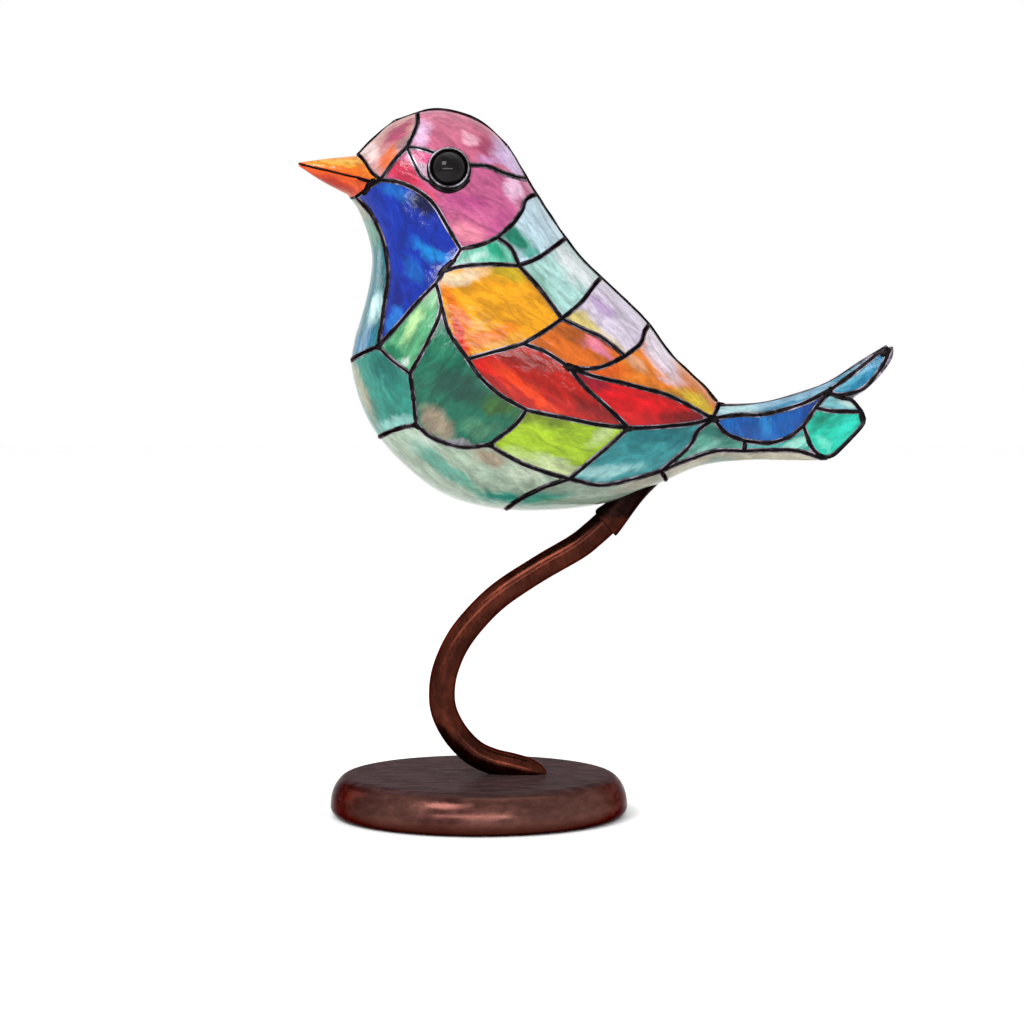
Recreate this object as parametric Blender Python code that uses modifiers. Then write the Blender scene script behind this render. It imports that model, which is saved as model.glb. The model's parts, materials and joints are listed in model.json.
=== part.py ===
"""Stained glass bird on a curved copper stem with a round base.

Metres, +Z up. The origin is the middle of the base's underside, and the bird faces -X.
The bird is a hollow shell of glass panes held in one cage of lead came. The panes follow a
pattern of lead lines drawn flat, as the bird is seen from its side.
"""

import math

import bmesh
import bpy
from mathutils import Vector
from mathutils.bvhtree import BVHTree
from mathutils.geometry import intersect_point_line

# Driving sizes
BIRD_LENGTH = 0.1695
GLASS_THICKNESS = 0.0030
CAME_WIDTH = 0.0013
CAME_PROUD = 0.0004
RIDGE_WIDTH = 0.0020
GAP = 0.0003
EYE_DIAMETER = 0.0108
EYE_RING_WIDTH = 0.0011
EYE_RING_PROUD = 0.0007
MOUTH_WIDTH = 0.0009
STEM_DIAMETER = 0.0075
STEM_RISE = 0.0724
STEM_REACH = 0.0365
COLLAR_WALL = 0.0006
COLLAR_GRIP = 0.0026
BASE_DIAMETER = 0.0850
BASE_THICKNESS = 0.0116
BASE_SHOULDER = 0.0057
BASE_FOOT_ROUND = 0.0028

# The side view is drawn in units, this many along the bird. Drawn x runs to the tail, drawn y down.
DRAWN_LENGTH = 597
UNIT = BIRD_LENGTH / DRAWN_LENGTH
DRAWN_RISE = 1.004 * UNIT
DRAWN_STEM_END = (607, 523)
DRAWN_EYEBALL = (449, 170)
# The drawing is seen from this point, this many units off the bird's middle plane.
DRAWN_EYE = (512, 151)
EYE_DISTANCE = 4225

# How finely shapes are made: numbers of sides and steps, and distances in drawn units
LOFT_SIDES = 14
HOLLOW_SIDES = 12
CAGE_HOLLOW_SIDES = 8
DRUM_SIDES = 20
BALL_SIDES, BALL_RINGS = 14, 7
TURN_STEPS = 36
SHOULDER_STEPS = 5
FOOT_STEPS = 2
LEAD_STEP = 5
OUTLINE_TOLERANCE = 1.2
SAME_POINT = 1.5
# Cutters run this many units off the middle plane, well past the bird's widest place.
CUTTER_REACH = 150
THROUGH = (-CUTTER_REACH, 0, CUTTER_REACH)

# Each section of the bird: top and bottom as drawn, half its width in units, and its squareness
SECTIONS = {
    "beak root": ((358, 158), (348, 197), 19, 2.0),
    "brow": ((374, 142), (358, 211), 33, 2.0),
    "forehead": ((396, 124), (367, 233), 46, 2.0),
    "crown": ((437, 113), (372, 256), 58, 2.0),
    "poll": ((478, 124), (371, 276), 65, 2.0),
    "hind head": ((507, 149), (367, 297), 71, 2.0),
    "nape": ((528, 184), (361, 319), 78, 2.0),
    "neck": ((549, 217), (354, 343), 88, 2.0),
    "shoulder": ((578, 257), (352, 372), 96, 2.0),
    "breast": ((612, 290), (368, 421), 101, 2.1),
    "back": ((645, 322), (400, 462), 100, 2.1),
    "loin": ((668, 353), (448, 497), 94, 2.1),
    "rump": ((687, 372), (512, 511), 80, 2.1),
    "tail base": ((704, 388), (590, 507), 60, 2.1),
    "vent": ((717, 403), (648, 489), 42, 2.2),
    "coverts": ((738, 405), (700, 467), 27, 2.4),
    "tail root": ((765, 403), (748, 461), 17, 3.0),
    "tail middle": ((795, 395), (787, 461), 12, 4.0),
    "fork": ((828, 383), (822, 461), 10, 4.0),
    "feather": ((862, 361), (852, 458), 8, 4.0),
    "tail tip": ((897, 340), (884, 446), 7, 4.0),
}
HOLLOW_FROM, HOLLOW_TO = "brow", "tail base"

# Beak sections in the same form, from the tip to the last one, inside the head
BEAK_SECTIONS = [
    ((299, 165), (300, 169), 2, 2.0),
    ((328, 161), (323, 184), 11, 2.0),
    ((358, 158), (348, 197), 23, 2.0),
    ((378, 154), (368, 207), 38, 2.0),
]
MOUTH_LINE = [(290, 164), (300, 167), (325, 172), (350, 178), (385, 186)]

# The eye's ring, and the share of its radius at which lead lines run under it
RING_RADIUS = EYE_DIAMETER / 2 + GAP + EYE_RING_WIDTH
UNDER_RING = 0.95
EYE_SUNK = 0.22


def at_eye_ring(degrees):
    """The drawn point just under the eye's ring, at this angle clockwise from the tail's side."""
    reach = UNDER_RING * RING_RADIUS / UNIT
    turn = math.radians(degrees)
    return DRAWN_EYEBALL[0] + reach * math.cos(turn), DRAWN_EYEBALL[1] + reach * math.sin(turn)


# Lead lines as drawn. One that meets the ridge or the keel runs on past it.
LEADS = {
    "forehead rear upper": [(414, 90), (418, 121), (415, 134), (407, 150)],
    "forehead rear lower": [(407, 150), (395, 163), (381, 182)],
    "forehead front": [(381, 182), (372, 175), (362, 161), (340, 140)],
    "lore": [(407, 150), (414, 165), (422, 179), at_eye_ring(121)],
    "eye front": [(407, 150), (420, 151), at_eye_ring(225)],
    "brow": [at_eye_ring(-8), (488, 169), (505, 176), (525, 181), (560, 186)],
    "throat top": [(381, 182), (400, 185), (420, 194), (435, 208), (448, 230), (461, 251)],
    "cheek rear": [(565, 190), (529, 199), (522, 212), (512, 226), (497, 239)],
    "cheek lower": [(497, 239), (482, 246), (461, 251)],
    "chin": [(381, 182), (368, 190), (356, 199)],
    "throat front": [(356, 199), (372, 217), (384, 245), (388, 275), (384, 308), (378, 348)],
    "throat rear": [(461, 251), (454, 262), (444, 273)],
    "wedge apex": [(444, 273), (436, 285)],
    "throat lower": [(436, 285), (418, 303), (398, 326), (378, 348)],
    "gold front": [(436, 285), (439, 296), (441, 308)],
    "wedge right": [(441, 308), (437, 324), (425, 348), (410, 375)],
    "wedge lower": [(378, 348), (393, 362), (410, 375)],
    "chest top": [(378, 348), (363, 354), (330, 374)],
    "chest rear": [(410, 375), (413, 398), (416, 426)],
    "chest lower": [(416, 426), (400, 429), (381, 437), (350, 456)],
    "gold left": [(441, 308), (449, 333), (467, 360)],
    "gold top": [(444, 273), (460, 268), (490, 266), (519, 267)],
    "neck rear": [(497, 239), (511, 250), (519, 267)],
    "nape lower": [(519, 267), (537, 260), (552, 250), (600, 214)],
    "gold right": [(519, 267), (541, 292), (562, 320)],
    "gold lower": [(562, 320), (545, 332), (523, 345)],
    "red top": [(523, 345), (497, 352), (467, 360)],
    "orange lower": [(523, 345), (545, 353), (568, 368)],
    "wing middle": [(562, 320), (585, 331), (604, 340), (625, 357)],
    "aqua rear": [(640, 244), (598, 282), (582, 303), (562, 320)],
    "lilac rear": [(690, 290), (649, 326), (641, 344), (625, 357)],
    "orange rear": [(625, 357), (605, 367), (587, 370), (568, 368)],
    "crimson top": [(568, 368), (592, 377), (630, 386), (672, 398), (713, 420)],
    "crimson left": [(568, 368), (585, 388), (605, 406), (629, 429)],
    "crimson lower": [(629, 429), (660, 428), (690, 425), (713, 420)],
    "red lower": [(629, 429), (595, 425), (560, 418), (526, 411)],
    "red left": [(467, 360), (480, 378), (500, 396), (526, 411)],
    "lime front": [(526, 411), (515, 426), (489, 446)],
    "lime lower": [(489, 446), (515, 461), (542, 472), (569, 480)],
    "lime rear": [(629, 429), (605, 450), (569, 480)],
    "belly top": [(416, 426), (434, 440), (462, 448), (489, 446)],
    "belly rear": [(569, 480), (540, 490), (508, 509), (480, 545)],
    "flank lower": [(569, 480), (600, 486), (630, 481), (661, 472)],
    "flank rear": [(713, 420), (698, 432), (690, 447), (661, 472)],
    "rump top": [(713, 420), (719, 405), (730, 370)],
    "tail root": [(713, 420), (719, 405)],
    "keel front": [(661, 472), (668, 484), (680, 520)],
    "vent lower": [(661, 472), (688, 461), (716, 452), (744, 452)],
    "vent top": [(713, 420), (727, 435), (745, 442)],
    "vent rear": [(745, 442), (744, 452)],
    "tail upper": [(713, 420), (737, 416), (765, 415), (800, 406), (829, 392)],
    "tip upper": [(829, 392), (850, 377), (870, 361), (884, 350)],
    "tail crest": [(719, 405), (750, 403), (785, 396), (825, 382), (857, 363), (884, 346)],
    "tip lower": [(829, 394), (842, 396), (864, 389), (882, 368), (890, 350)],
    "blue lower": [(745, 442), (770, 444), (790, 438), (804, 427)],
    "blue rear": [(804, 427), (814, 412), (829, 393)],
    "fork lower": [(816, 409), (832, 412), (862, 413)],
    "fork rear": [(816, 409), (829, 394)],
    "notch": [(829, 394), (842, 399), (852, 401), (862, 413)],
    "end edge": [(862, 413), (864, 424), (851, 440), (834, 456), (823, 459)],
    "end front": [(823, 459), (812, 448), (804, 427)],
    "end upper": [(804, 427), (810, 418), (816, 409)],
    "under tail": [(744, 452), (770, 451), (798, 452), (823, 459)],
    "keel edge": [(823, 459), (823, 490)],
}

# Each pane's loop of lead lines, with the corners that close it outside the bird
SIDE_PANES = {
    "forehead": ["forehead rear upper", "forehead rear lower", "forehead front", (380, 90)],
    "crown": ["forehead rear upper", (520, 90), (580, 150), "brow", DRAWN_EYEBALL, "eye front"],
    "eye_front": ["eye front", DRAWN_EYEBALL, "lore"],
    "cheek": [
        "lore", DRAWN_EYEBALL, "brow", "cheek rear", "cheek lower", "throat top", "forehead rear lower"
    ],
    "throat": [
        "throat top", "throat rear", "wedge apex", "throat lower", "throat front", "chin"
    ],
    "neck": ["cheek lower", "neck rear", "gold top", "throat rear"],
    "nape": ["cheek rear", "neck rear", "nape lower"],
    "wedge": ["gold front", "wedge right", "wedge lower", "throat lower"],
    "side": ["wedge right", "chest rear", "belly top", "lime front", "red left", "gold left"],
    "wing_gold": [
        "gold top", "gold right", "gold lower", "red top", "gold left", "gold front", "wedge apex"
    ],
    "wing_orange": ["gold lower", "wing middle", "orange rear", "orange lower"],
    "wing_red": ["red top", "orange lower", "crimson left", "red lower", "red left"],
    "wing_crimson": ["crimson left", "crimson top", "crimson lower"],
    "wing_tip": ["crimson top", "orange rear", "lilac rear", "rump top"],
    "back": ["nape lower", "aqua rear", "gold right"],
    "rear_back": ["aqua rear", "lilac rear", "wing middle"],
    "lime": ["red lower", "lime rear", "lime lower", "lime front"],
    "flank": ["lime rear", "crimson lower", "flank rear", "flank lower"],
    "vent": ["flank rear", "vent top", "vent rear", "vent lower"],
}
THROUGH_PANES = {
    "breast": ["throat front", "chest top", (300, 360), (300, 199)],
    "chest": ["chest top", "wedge lower", "chest rear", "chest lower"],
    "belly": ["chest lower", "belly top", "lime lower", "belly rear", (380, 545)],
    "rear_belly": ["belly rear", "flank lower", "keel front", (580, 545)],
    "under_tail": ["keel front", "vent lower", "under tail", "keel edge"],
    "tail_top": ["tail crest", "tip upper", "tail upper", "tail root"],
    "tail_blue": ["tail upper", "blue rear", "blue lower", "vent top"],
    "tail_tip": ["tip upper", "tip lower"],
    "tail_step": ["notch", "fork lower", "fork rear"],
    "tail_end": ["fork lower", "end edge", "end front", "end upper"],
    "tail_middle": ["blue lower", "end front", "under tail", "vent rear"],
}
EYE_PANES = ("crown", "cheek", "eye_front")

# Past this outline there is no tail. It follows the two feathers and the notch between them.
TAIL_EDGE = [
    (884, 300), (886, 346), (893, 348), (892, 360), (881, 376), (866, 391), (853, 401),
    (865, 416), (860, 432), (842, 449), (828, 461), (826, 500), (960, 500), (960, 300),
]

# Above the socket the collar flares to the belly. Each ring there has its drawn middle, how much
# longer and wider it is than the socket, and how far it has turned to the belly's slant.
COLLAR_SLANT = Vector((1, 0, 0.35))
COLLAR_FLARE = [((624, 503), 1.15, 1.1, 0.75), ((640, 487), 1.65, 1.5, 1.0)]

# The stem's path, as shares of its reach and its rise, from the base's middle at its top
STEM_PATH = [
    (0.602, -0.020), (0.439, 0.005), (0.261, 0.030), (0.104, 0.050), (-0.044, 0.086),
    (-0.180, 0.157), (-0.269, 0.243), (-0.289, 0.324), (-0.261, 0.415), (-0.170, 0.521),
    (-0.028, 0.617), (0.170, 0.713), (0.471, 0.814), (0.762, 0.900), (0.891, 0.951),
]

GLASS_COLOURS = {
    "forehead": (0.85, 0.42, 0.42), "crown": (0.80, 0.42, 0.52), "eye_front": (0.90, 0.35, 0.55),
    "cheek": (0.80, 0.38, 0.58), "throat": (0.00, 0.12, 0.52), "neck": (0.35, 0.72, 0.62),
    "nape": (0.55, 0.80, 0.85), "wedge": (0.25, 0.60, 0.42), "side": (0.05, 0.34, 0.26),
    "wing_gold": (0.93, 0.66, 0.10), "wing_orange": (0.88, 0.40, 0.12),
    "wing_red": (0.80, 0.10, 0.05), "wing_crimson": (0.70, 0.04, 0.08),
    "wing_tip": (0.92, 0.62, 0.25), "back": (0.68, 0.87, 0.87), "rear_back": (0.85, 0.80, 0.90),
    "lime": (0.58, 0.72, 0.12), "flank": (0.20, 0.58, 0.55), "vent": (0.20, 0.55, 0.55),
    "breast": (0.20, 0.60, 0.65), "chest": (0.20, 0.55, 0.50), "belly": (0.62, 0.74, 0.64),
    "rear_belly": (0.60, 0.68, 0.60), "under_tail": (0.72, 0.68, 0.55),
    "tail_top": (0.35, 0.60, 0.72), "tail_blue": (0.05, 0.30, 0.62), "tail_tip": (0.12, 0.52, 0.66),
    "tail_step": (0.25, 0.60, 0.62), "tail_end": (0.08, 0.72, 0.62),
    "tail_middle": (0.25, 0.68, 0.65), "beak_upper": (0.95, 0.58, 0.12),
    "beak_lower": (0.90, 0.32, 0.08),
}


def clear_scene():
    for obj in list(bpy.data.objects):
        bpy.data.objects.remove(obj)


def new_collection(name):
    collection = bpy.data.collections.new(name)
    bpy.context.scene.collection.children.link(collection)
    return collection


def plain_material(name, colour, roughness, metallic, transmission=0.0):
    material = bpy.data.materials.new(name)
    material.use_nodes = True
    shader = material.node_tree.nodes["Principled BSDF"]
    shader.inputs["Base Color"].default_value = (*colour, 1.0)
    shader.inputs["Roughness"].default_value = roughness
    shader.inputs["Metallic"].default_value = metallic
    shader.inputs["Transmission Weight"].default_value = transmission
    material.diffuse_color = (*colour, 1.0)
    return material


def new_object(name, mesh, collection):
    obj = bpy.data.objects.new(name, mesh)
    collection.objects.link(obj)
    return obj


def mesh_from(name, shape):
    """The finished mesh of a bmesh, with its faces turned outwards."""
    bmesh.ops.recalc_face_normals(shape, faces=shape.faces)
    mesh = bpy.data.meshes.new(name)
    shape.to_mesh(mesh)
    shape.free()
    return mesh


def hide_as_cutter(obj):
    obj.hide_render = True
    obj.display_type = "WIRE"


def boolean(obj, operation, other, solver="EXACT"):
    """Cuts or joins an object with another object, or with all of a collection."""
    modifier = obj.modifiers.new(operation.title(), "BOOLEAN")
    modifier.operation = operation
    modifier.solver = solver
    if isinstance(other, bpy.types.Collection):
        modifier.operand_type = "COLLECTION"
        modifier.collection = other
    else:
        modifier.object = other
    return modifier


def baked(obj):
    """The object with its modifiers, or its curve, turned into one plain mesh."""
    graph = bpy.context.evaluated_depsgraph_get()
    mesh = bpy.data.meshes.new_from_object(obj.evaluated_get(graph))
    shape = bmesh.new()
    shape.from_mesh(mesh)
    bmesh.ops.remove_doubles(shape, verts=shape.verts, dist=1e-6)
    shape.to_mesh(mesh)
    shape.free()
    made = bpy.data.objects.new(obj.name + " mesh", mesh)
    made.matrix_world = obj.matrix_world
    for collection in obj.users_collection:
        collection.objects.link(made)
    name = obj.name
    bpy.data.objects.remove(obj)
    made.name = name
    return made


def stem_end():
    return Vector((STEM_REACH, 0, BASE_THICKNESS + STEM_RISE))


def placed(point, off_middle=0.0):
    """A drawn point in space, on the plane this far off the bird's middle, measured in units."""
    share = abs(off_middle) / EYE_DISTANCE
    x = point[0] + (DRAWN_EYE[0] - point[0]) * share
    y = point[1] + (DRAWN_EYE[1] - point[1]) * share
    end = stem_end()
    return Vector((
        end.x + (x - DRAWN_STEM_END[0]) * UNIT,
        off_middle * UNIT,
        end.z + (DRAWN_STEM_END[1] - y) * DRAWN_RISE,
    ))


def smooth_line(points, step):
    """Points about this far apart along a smooth curve through the given ones."""
    points = [Vector(point) for point in points]
    ends = [2 * points[0] - points[1], *points, 2 * points[-1] - points[-2]]
    line = [points[0]]
    for before, start, stop, after in zip(ends, ends[1:], ends[2:], ends[3:]):
        pieces = max(1, round((stop - start).length / step))
        for k in range(1, pieces + 1):
            t = k / pieces
            line.append(0.5 * (
                2 * start
                + (stop - before) * t
                + (2 * before - 5 * start + 4 * stop - after) * t * t
                + (3 * start - before - 3 * stop + after) * t * t * t
            ))
    return line


def section_ring(section, grow, shift, sides):
    """One closed ring of points around the bird or its beak, grown outwards by a distance."""
    top, bottom = placed(section[0]), placed(section[1])
    middle = (top + bottom) / 2 + shift
    upwards = (top - bottom) / 2
    tall = upwards.length + grow
    wide = section[2] * UNIT + grow
    power = 2 / section[3]
    ring = []
    for side in range(sides):
        turn = 2 * math.pi * side / sides
        up = math.copysign(abs(math.cos(turn)) ** power, math.cos(turn))
        out = math.copysign(abs(math.sin(turn)) ** power, math.sin(turn))
        ring.append(middle + upwards.normalized() * tall * up + Vector((0, wide * out, 0)))
    return ring


def loft(name, rings, collection):
    """A closed skin over rings of equally many points, capped at both ends."""
    shape = bmesh.new()
    rows = [[shape.verts.new(point) for point in ring] for ring in rings]
    for row, after in zip(rows, rows[1:]):
        for side in range(len(row)):
            beside = (side + 1) % len(row)
            shape.faces.new((row[side], row[beside], after[beside], after[side]))
    shape.faces.new(rows[0])
    shape.faces.new(rows[-1])
    return new_object(name, mesh_from(name, shape), collection)


def sections_loft(name, sections, grow, collection, sides=LOFT_SIDES):
    """A closed skin through the sections, grown outwards by a distance, also at its two ends."""
    middles = [(placed(top) + placed(bottom)) / 2 for top, bottom, _, _ in sections]
    rings = []
    for place, section in enumerate(sections):
        shift = Vector((0, 0, 0))
        if place == 0:
            shift = (middles[0] - middles[1]).normalized() * grow
        if place == len(sections) - 1:
            shift = (middles[-1] - middles[-2]).normalized() * grow
        rings.append(section_ring(section, grow, shift, sides))
    return loft(name, rings, collection)


def body_loft(name, grow, collection):
    return sections_loft(name, list(SECTIONS.values()), grow, collection)


def hollow_loft(name, collection, sides):
    """The bird's hollow, a wall's thickness inside its skin. Every other section is enough for it."""
    names = list(SECTIONS)
    kept = names[names.index(HOLLOW_FROM) : names.index(HOLLOW_TO) + 1 : 2]
    sections = [SECTIONS[key] for key in kept]
    hollow = sections_loft(name, sections, -GLASS_THICKNESS, collection, sides)
    hide_as_cutter(hollow)
    return hollow


def edge_distance(point, outline):
    nearest = float("inf")
    for start, stop in zip(outline, outline[1:] + outline[:1]):
        on_line, share = intersect_point_line(point, start, stop)
        if share < 0:
            on_line = start
        if share > 1:
            on_line = stop
        nearest = min(nearest, (point - Vector(on_line[:2])).length)
    return nearest


def is_inside(point, outline):
    inside = False
    for start, stop in zip(outline, outline[1:] + outline[:1]):
        if (start.y > point.y) != (stop.y > point.y):
            crossing = start.x + (point.y - start.y) * (stop.x - start.x) / (stop.y - start.y)
            if point.x < crossing:
                inside = not inside
    return inside


def signed_area(outline):
    return sum(a.x * b.y - b.x * a.y for a, b in zip(outline, outline[1:] + outline[:1])) / 2


def inset(outline, distance):
    """The outline moved inwards. A corner too sharp to follow is left to the came."""
    turned = 1 if signed_area(outline) > 0 else -1
    moved = []
    for before, point, after in zip(outline[-1:] + outline[:-1], outline, outline[1:] + outline[:1]):
        coming = (point - before).normalized()
        going = (after - point).normalized()
        inwards = Vector((-(coming.y + going.y), coming.x + going.x)) * turned
        if inwards.length < 1e-6:
            continue
        inwards.normalize()
        spread = max(0.4, abs(inwards.dot(Vector((-coming.y, coming.x)))))
        target = point + inwards * distance / spread
        if is_inside(target, outline) and edge_distance(target, outline) > 0.95 * distance:
            moved.append(target)
    return moved


def pane_outline(loop):
    """The closed outline of a pane, chained from its lead lines and outside corners."""
    runs = []
    for item in loop:
        runs.append(smooth_line(LEADS[item], LEAD_STEP) if isinstance(item, str) else [Vector(item)])
    first, second = runs[0], runs[1]
    near = min((first[-1] - end).length for end in (second[0], second[-1]))
    far = min((first[0] - end).length for end in (second[0], second[-1]))
    outline = list(first) if near <= far else list(reversed(first))
    for run in runs[1:]:
        if (run[-1] - outline[-1]).length < (run[0] - outline[-1]).length:
            run = list(reversed(run))
        outline.extend(run)
    kept = []
    for point in outline:
        if not kept or (point - kept[-1]).length > SAME_POINT:
            kept.append(point)
    if (kept[0] - kept[-1]).length <= SAME_POINT:
        kept.pop()
    return kept


def simplified(points, tolerance):
    """The open run of points without those closer than this to the straight line past them."""
    start, stop = points[0], points[-1]
    furthest, place = 0, 0
    for k in range(1, len(points) - 1):
        on_line = intersect_point_line(points[k], start, stop)[0]
        away = (points[k] - Vector(on_line[:2])).length
        if away > furthest:
            furthest, place = away, k
    if furthest <= tolerance:
        return [start, stop]
    return simplified(points[: place + 1], tolerance)[:-1] + simplified(points[place:], tolerance)


def opening_outline(loop):
    """The opening that the came leaves for a pane, with only the points that it needs."""
    moved = inset(pane_outline(loop), CAME_WIDTH / 2 / UNIT)
    far = max(range(len(moved)), key=lambda place: (moved[place] - moved[0]).length)
    there = simplified(moved[: far + 1], OUTLINE_TOLERANCE)
    back = simplified(moved[far:] + moved[:1], OUTLINE_TOLERANCE)
    return there[:-1] + back[:-1]


def prism(name, outline, levels, collection):
    """A flat outline carried through planes this many units off the middle, towards the eye."""
    shape = bmesh.new()
    rows = [[shape.verts.new(placed(point, level)) for point in outline] for level in levels]
    for row, after in zip(rows, rows[1:]):
        for place in range(len(row)):
            beside = (place + 1) % len(row)
            shape.faces.new((row[place], row[beside], after[beside], after[place]))
    shape.faces.new(rows[0])
    shape.faces.new(rows[-1])
    obj = new_object(name, mesh_from(name, shape), collection)
    hide_as_cutter(obj)
    return obj


def pane_plan():
    """Each pane's node name, its loop and the levels that its cutter runs through."""
    ridge = RIDGE_WIDTH / 2 / UNIT
    for name, loop in SIDE_PANES.items():
        yield name, f"pane_{name}_left", loop, (-CUTTER_REACH, -ridge)
        yield name, f"pane_{name}_right", loop, (ridge, CUTTER_REACH)
    for name, loop in THROUGH_PANES.items():
        yield name, f"pane_{name}", loop, THROUGH


def eye_place(surface, side):
    """The point of the head's surface that the eye sits at, and the way it looks."""
    start = placed(DRAWN_EYEBALL, side * CUTTER_REACH)
    towards = (placed(DRAWN_EYEBALL) - start).normalized()
    hit, normal, _, _ = surface.ray_cast(start, towards)
    return hit, (normal - towards).normalized()


def drum(name, middle, axis, radius, depth, collection):
    """A round bar lying along an axis, centred on a point."""
    shape = bmesh.new()
    bmesh.ops.create_cone(
        shape, cap_ends=True, segments=DRUM_SIDES, radius1=radius, radius2=radius, depth=depth
    )
    obj = new_object(name, mesh_from(name, shape), collection)
    obj.rotation_mode = "QUATERNION"
    obj.rotation_quaternion = Vector((0, 0, 1)).rotation_difference(axis)
    obj.location = middle
    return obj


def build_eye(side_name, place, looks, parts):
    shape = bmesh.new()
    bmesh.ops.create_uvsphere(
        shape, u_segments=BALL_SIDES, v_segments=BALL_RINGS, radius=EYE_DIAMETER / 2
    )
    eye = new_object(f"eye_{side_name}", mesh_from("eye", shape), parts)
    eye.location = place - looks * EYE_DIAMETER * EYE_SUNK
    eye.data.shade_smooth()
    eye.data.materials.append(plain_material(f"eye {side_name}", (0.01, 0.01, 0.012), 0.05, 0.0))


def build_glass(parts, cutters, tail_edge, eyes):
    """Every pane: the shell of the bird, kept only inside the pane's outline."""
    shell = body_loft("glass shell", 0, cutters)
    boolean(shell, "DIFFERENCE", hollow_loft("glass hollow", cutters, HOLLOW_SIDES))
    boolean(shell, "DIFFERENCE", tail_edge)
    shell = baked(shell)
    hide_as_cutter(shell)
    for name, node, loop, levels in pane_plan():
        outline = inset(opening_outline(loop), GAP / UNIT)
        cutter = prism(f"{node} outline", outline, levels, cutters)
        pane = new_object(node, shell.data.copy(), parts)
        pane.data.materials.clear()
        pane.data.materials.append(
            plain_material(node.replace("_", " "), GLASS_COLOURS[name], 0.12, 0.0, 0.4)
        )
        # The exact solver drops parts of a thin pane at some sizes.
        boolean(pane, "INTERSECT", cutter, "MANIFOLD")
        if name in EYE_PANES:
            boolean(pane, "DIFFERENCE", eyes[node.rsplit("_", 1)[1]]["hole"], "MANIFOLD")
        pane.data.shade_smooth()
        pane.data.set_sharp_from_angle(angle=math.radians(30))


def build_came(parts, cutters, openings, tail_edge, eyes):
    """The cage: a skin a little prouder than the glass, with every pane's opening cut out."""
    came = body_loft("came", CAME_PROUD, parts)
    boolean(came, "DIFFERENCE", hollow_loft("came hollow", cutters, CAGE_HOLLOW_SIDES))
    boolean(came, "DIFFERENCE", tail_edge)
    came = baked(came)
    for name, node, loop, levels in pane_plan():
        outline = opening_outline(loop)
        opening = prism(f"{node} opening", outline, levels, openings)
        if name in EYE_PANES:
            boolean(opening, "DIFFERENCE", eyes[node.rsplit("_", 1)[1]]["ring"])
    # The exact solver loses the cage at the eyes' rims, where several thin strips meet.
    boolean(came, "DIFFERENCE", openings, "MANIFOLD")
    boolean(came, "UNION", mouth_web(cutters), "MANIFOLD")
    for eye in eyes.values():
        boolean(came, "UNION", eye["rim"], "MANIFOLD")
        boolean(came, "DIFFERENCE", eye["bore"], "MANIFOLD")
    came.data.materials.append(plain_material("came", (0.05, 0.045, 0.045), 0.38, 1.0))


def mouth_web(cutters):
    """The strip of came between the two halves of the beak."""
    half = MOUTH_WIDTH / 2 / UNIT
    line = smooth_line(MOUTH_LINE, LEAD_STEP)
    outline = [point + Vector((0, half)) for point in line]
    outline += [point - Vector((0, half)) for point in reversed(line)]
    web = sections_loft("mouth web", BEAK_SECTIONS, CAME_PROUD / 2, cutters)
    strip = prism("mouth strip", outline, THROUGH, cutters)
    boolean(web, "INTERSECT", strip)
    hide_as_cutter(web)
    return web


def build_beak(parts, cutters):
    """Two glass halves that meet along the mouth and end against the head."""
    head = body_loft("head clearance", CAME_PROUD + GAP, cutters)
    hide_as_cutter(head)
    half = (MOUTH_WIDTH / 2 + GAP) / UNIT
    line = smooth_line(MOUTH_LINE, LEAD_STEP)
    for node, way in (("beak_upper", -1), ("beak_lower", 1)):
        edge = [point + Vector((0, way * half)) for point in line]
        beyond = [Vector((edge[end].x, edge[end].y + way * CUTTER_REACH)) for end in (-1, 0)]
        keep = prism(f"{node} half", edge + beyond, THROUGH, cutters)
        beak = sections_loft(node, BEAK_SECTIONS, 0, parts)
        boolean(beak, "INTERSECT", keep)
        boolean(beak, "DIFFERENCE", head)
        beak.data.materials.append(
            plain_material(node.replace("_", " "), GLASS_COLOURS[node], 0.2, 0.0, 0.2)
        )
        beak.data.shade_smooth()
        beak.data.set_sharp_from_angle(angle=math.radians(35))


def stem_line():
    start = Vector((0, 0, BASE_THICKNESS))
    points = [start + Vector((x * STEM_REACH, 0, z * STEM_RISE)) for x, z in STEM_PATH]
    return smooth_line([*points, stem_end()], STEM_DIAMETER * 0.75)


def build_stem(parts, cutters):
    """A bent rod. Its foot is cut off level where it runs into the base."""
    line = stem_line()
    curve = bpy.data.curves.new("stem", "CURVE")
    curve.dimensions = "3D"
    curve.bevel_depth = STEM_DIAMETER / 2
    curve.bevel_resolution = 3
    curve.use_fill_caps = True
    spline = curve.splines.new("POLY")
    spline.points.add(len(line) - 1)
    for place, point in zip(spline.points, line):
        place.co = (*point, 1)
    stem = new_object("stem", curve, parts)
    bpy.context.view_layer.update()
    stem = baked(stem)
    below = bmesh.new()
    bmesh.ops.create_cube(below, size=BASE_DIAMETER)
    under = new_object("stem foot cut", mesh_from("stem foot cut", below), cutters)
    under.location.z = BASE_THICKNESS + GAP - BASE_DIAMETER / 2
    hide_as_cutter(under)
    boolean(stem, "DIFFERENCE", under)
    stem.data.materials.append(plain_material("copper stem", (0.27, 0.10, 0.06), 0.32, 0.9))
    stem.data.shade_smooth()
    stem.data.set_sharp_from_angle(angle=math.radians(40))


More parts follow.
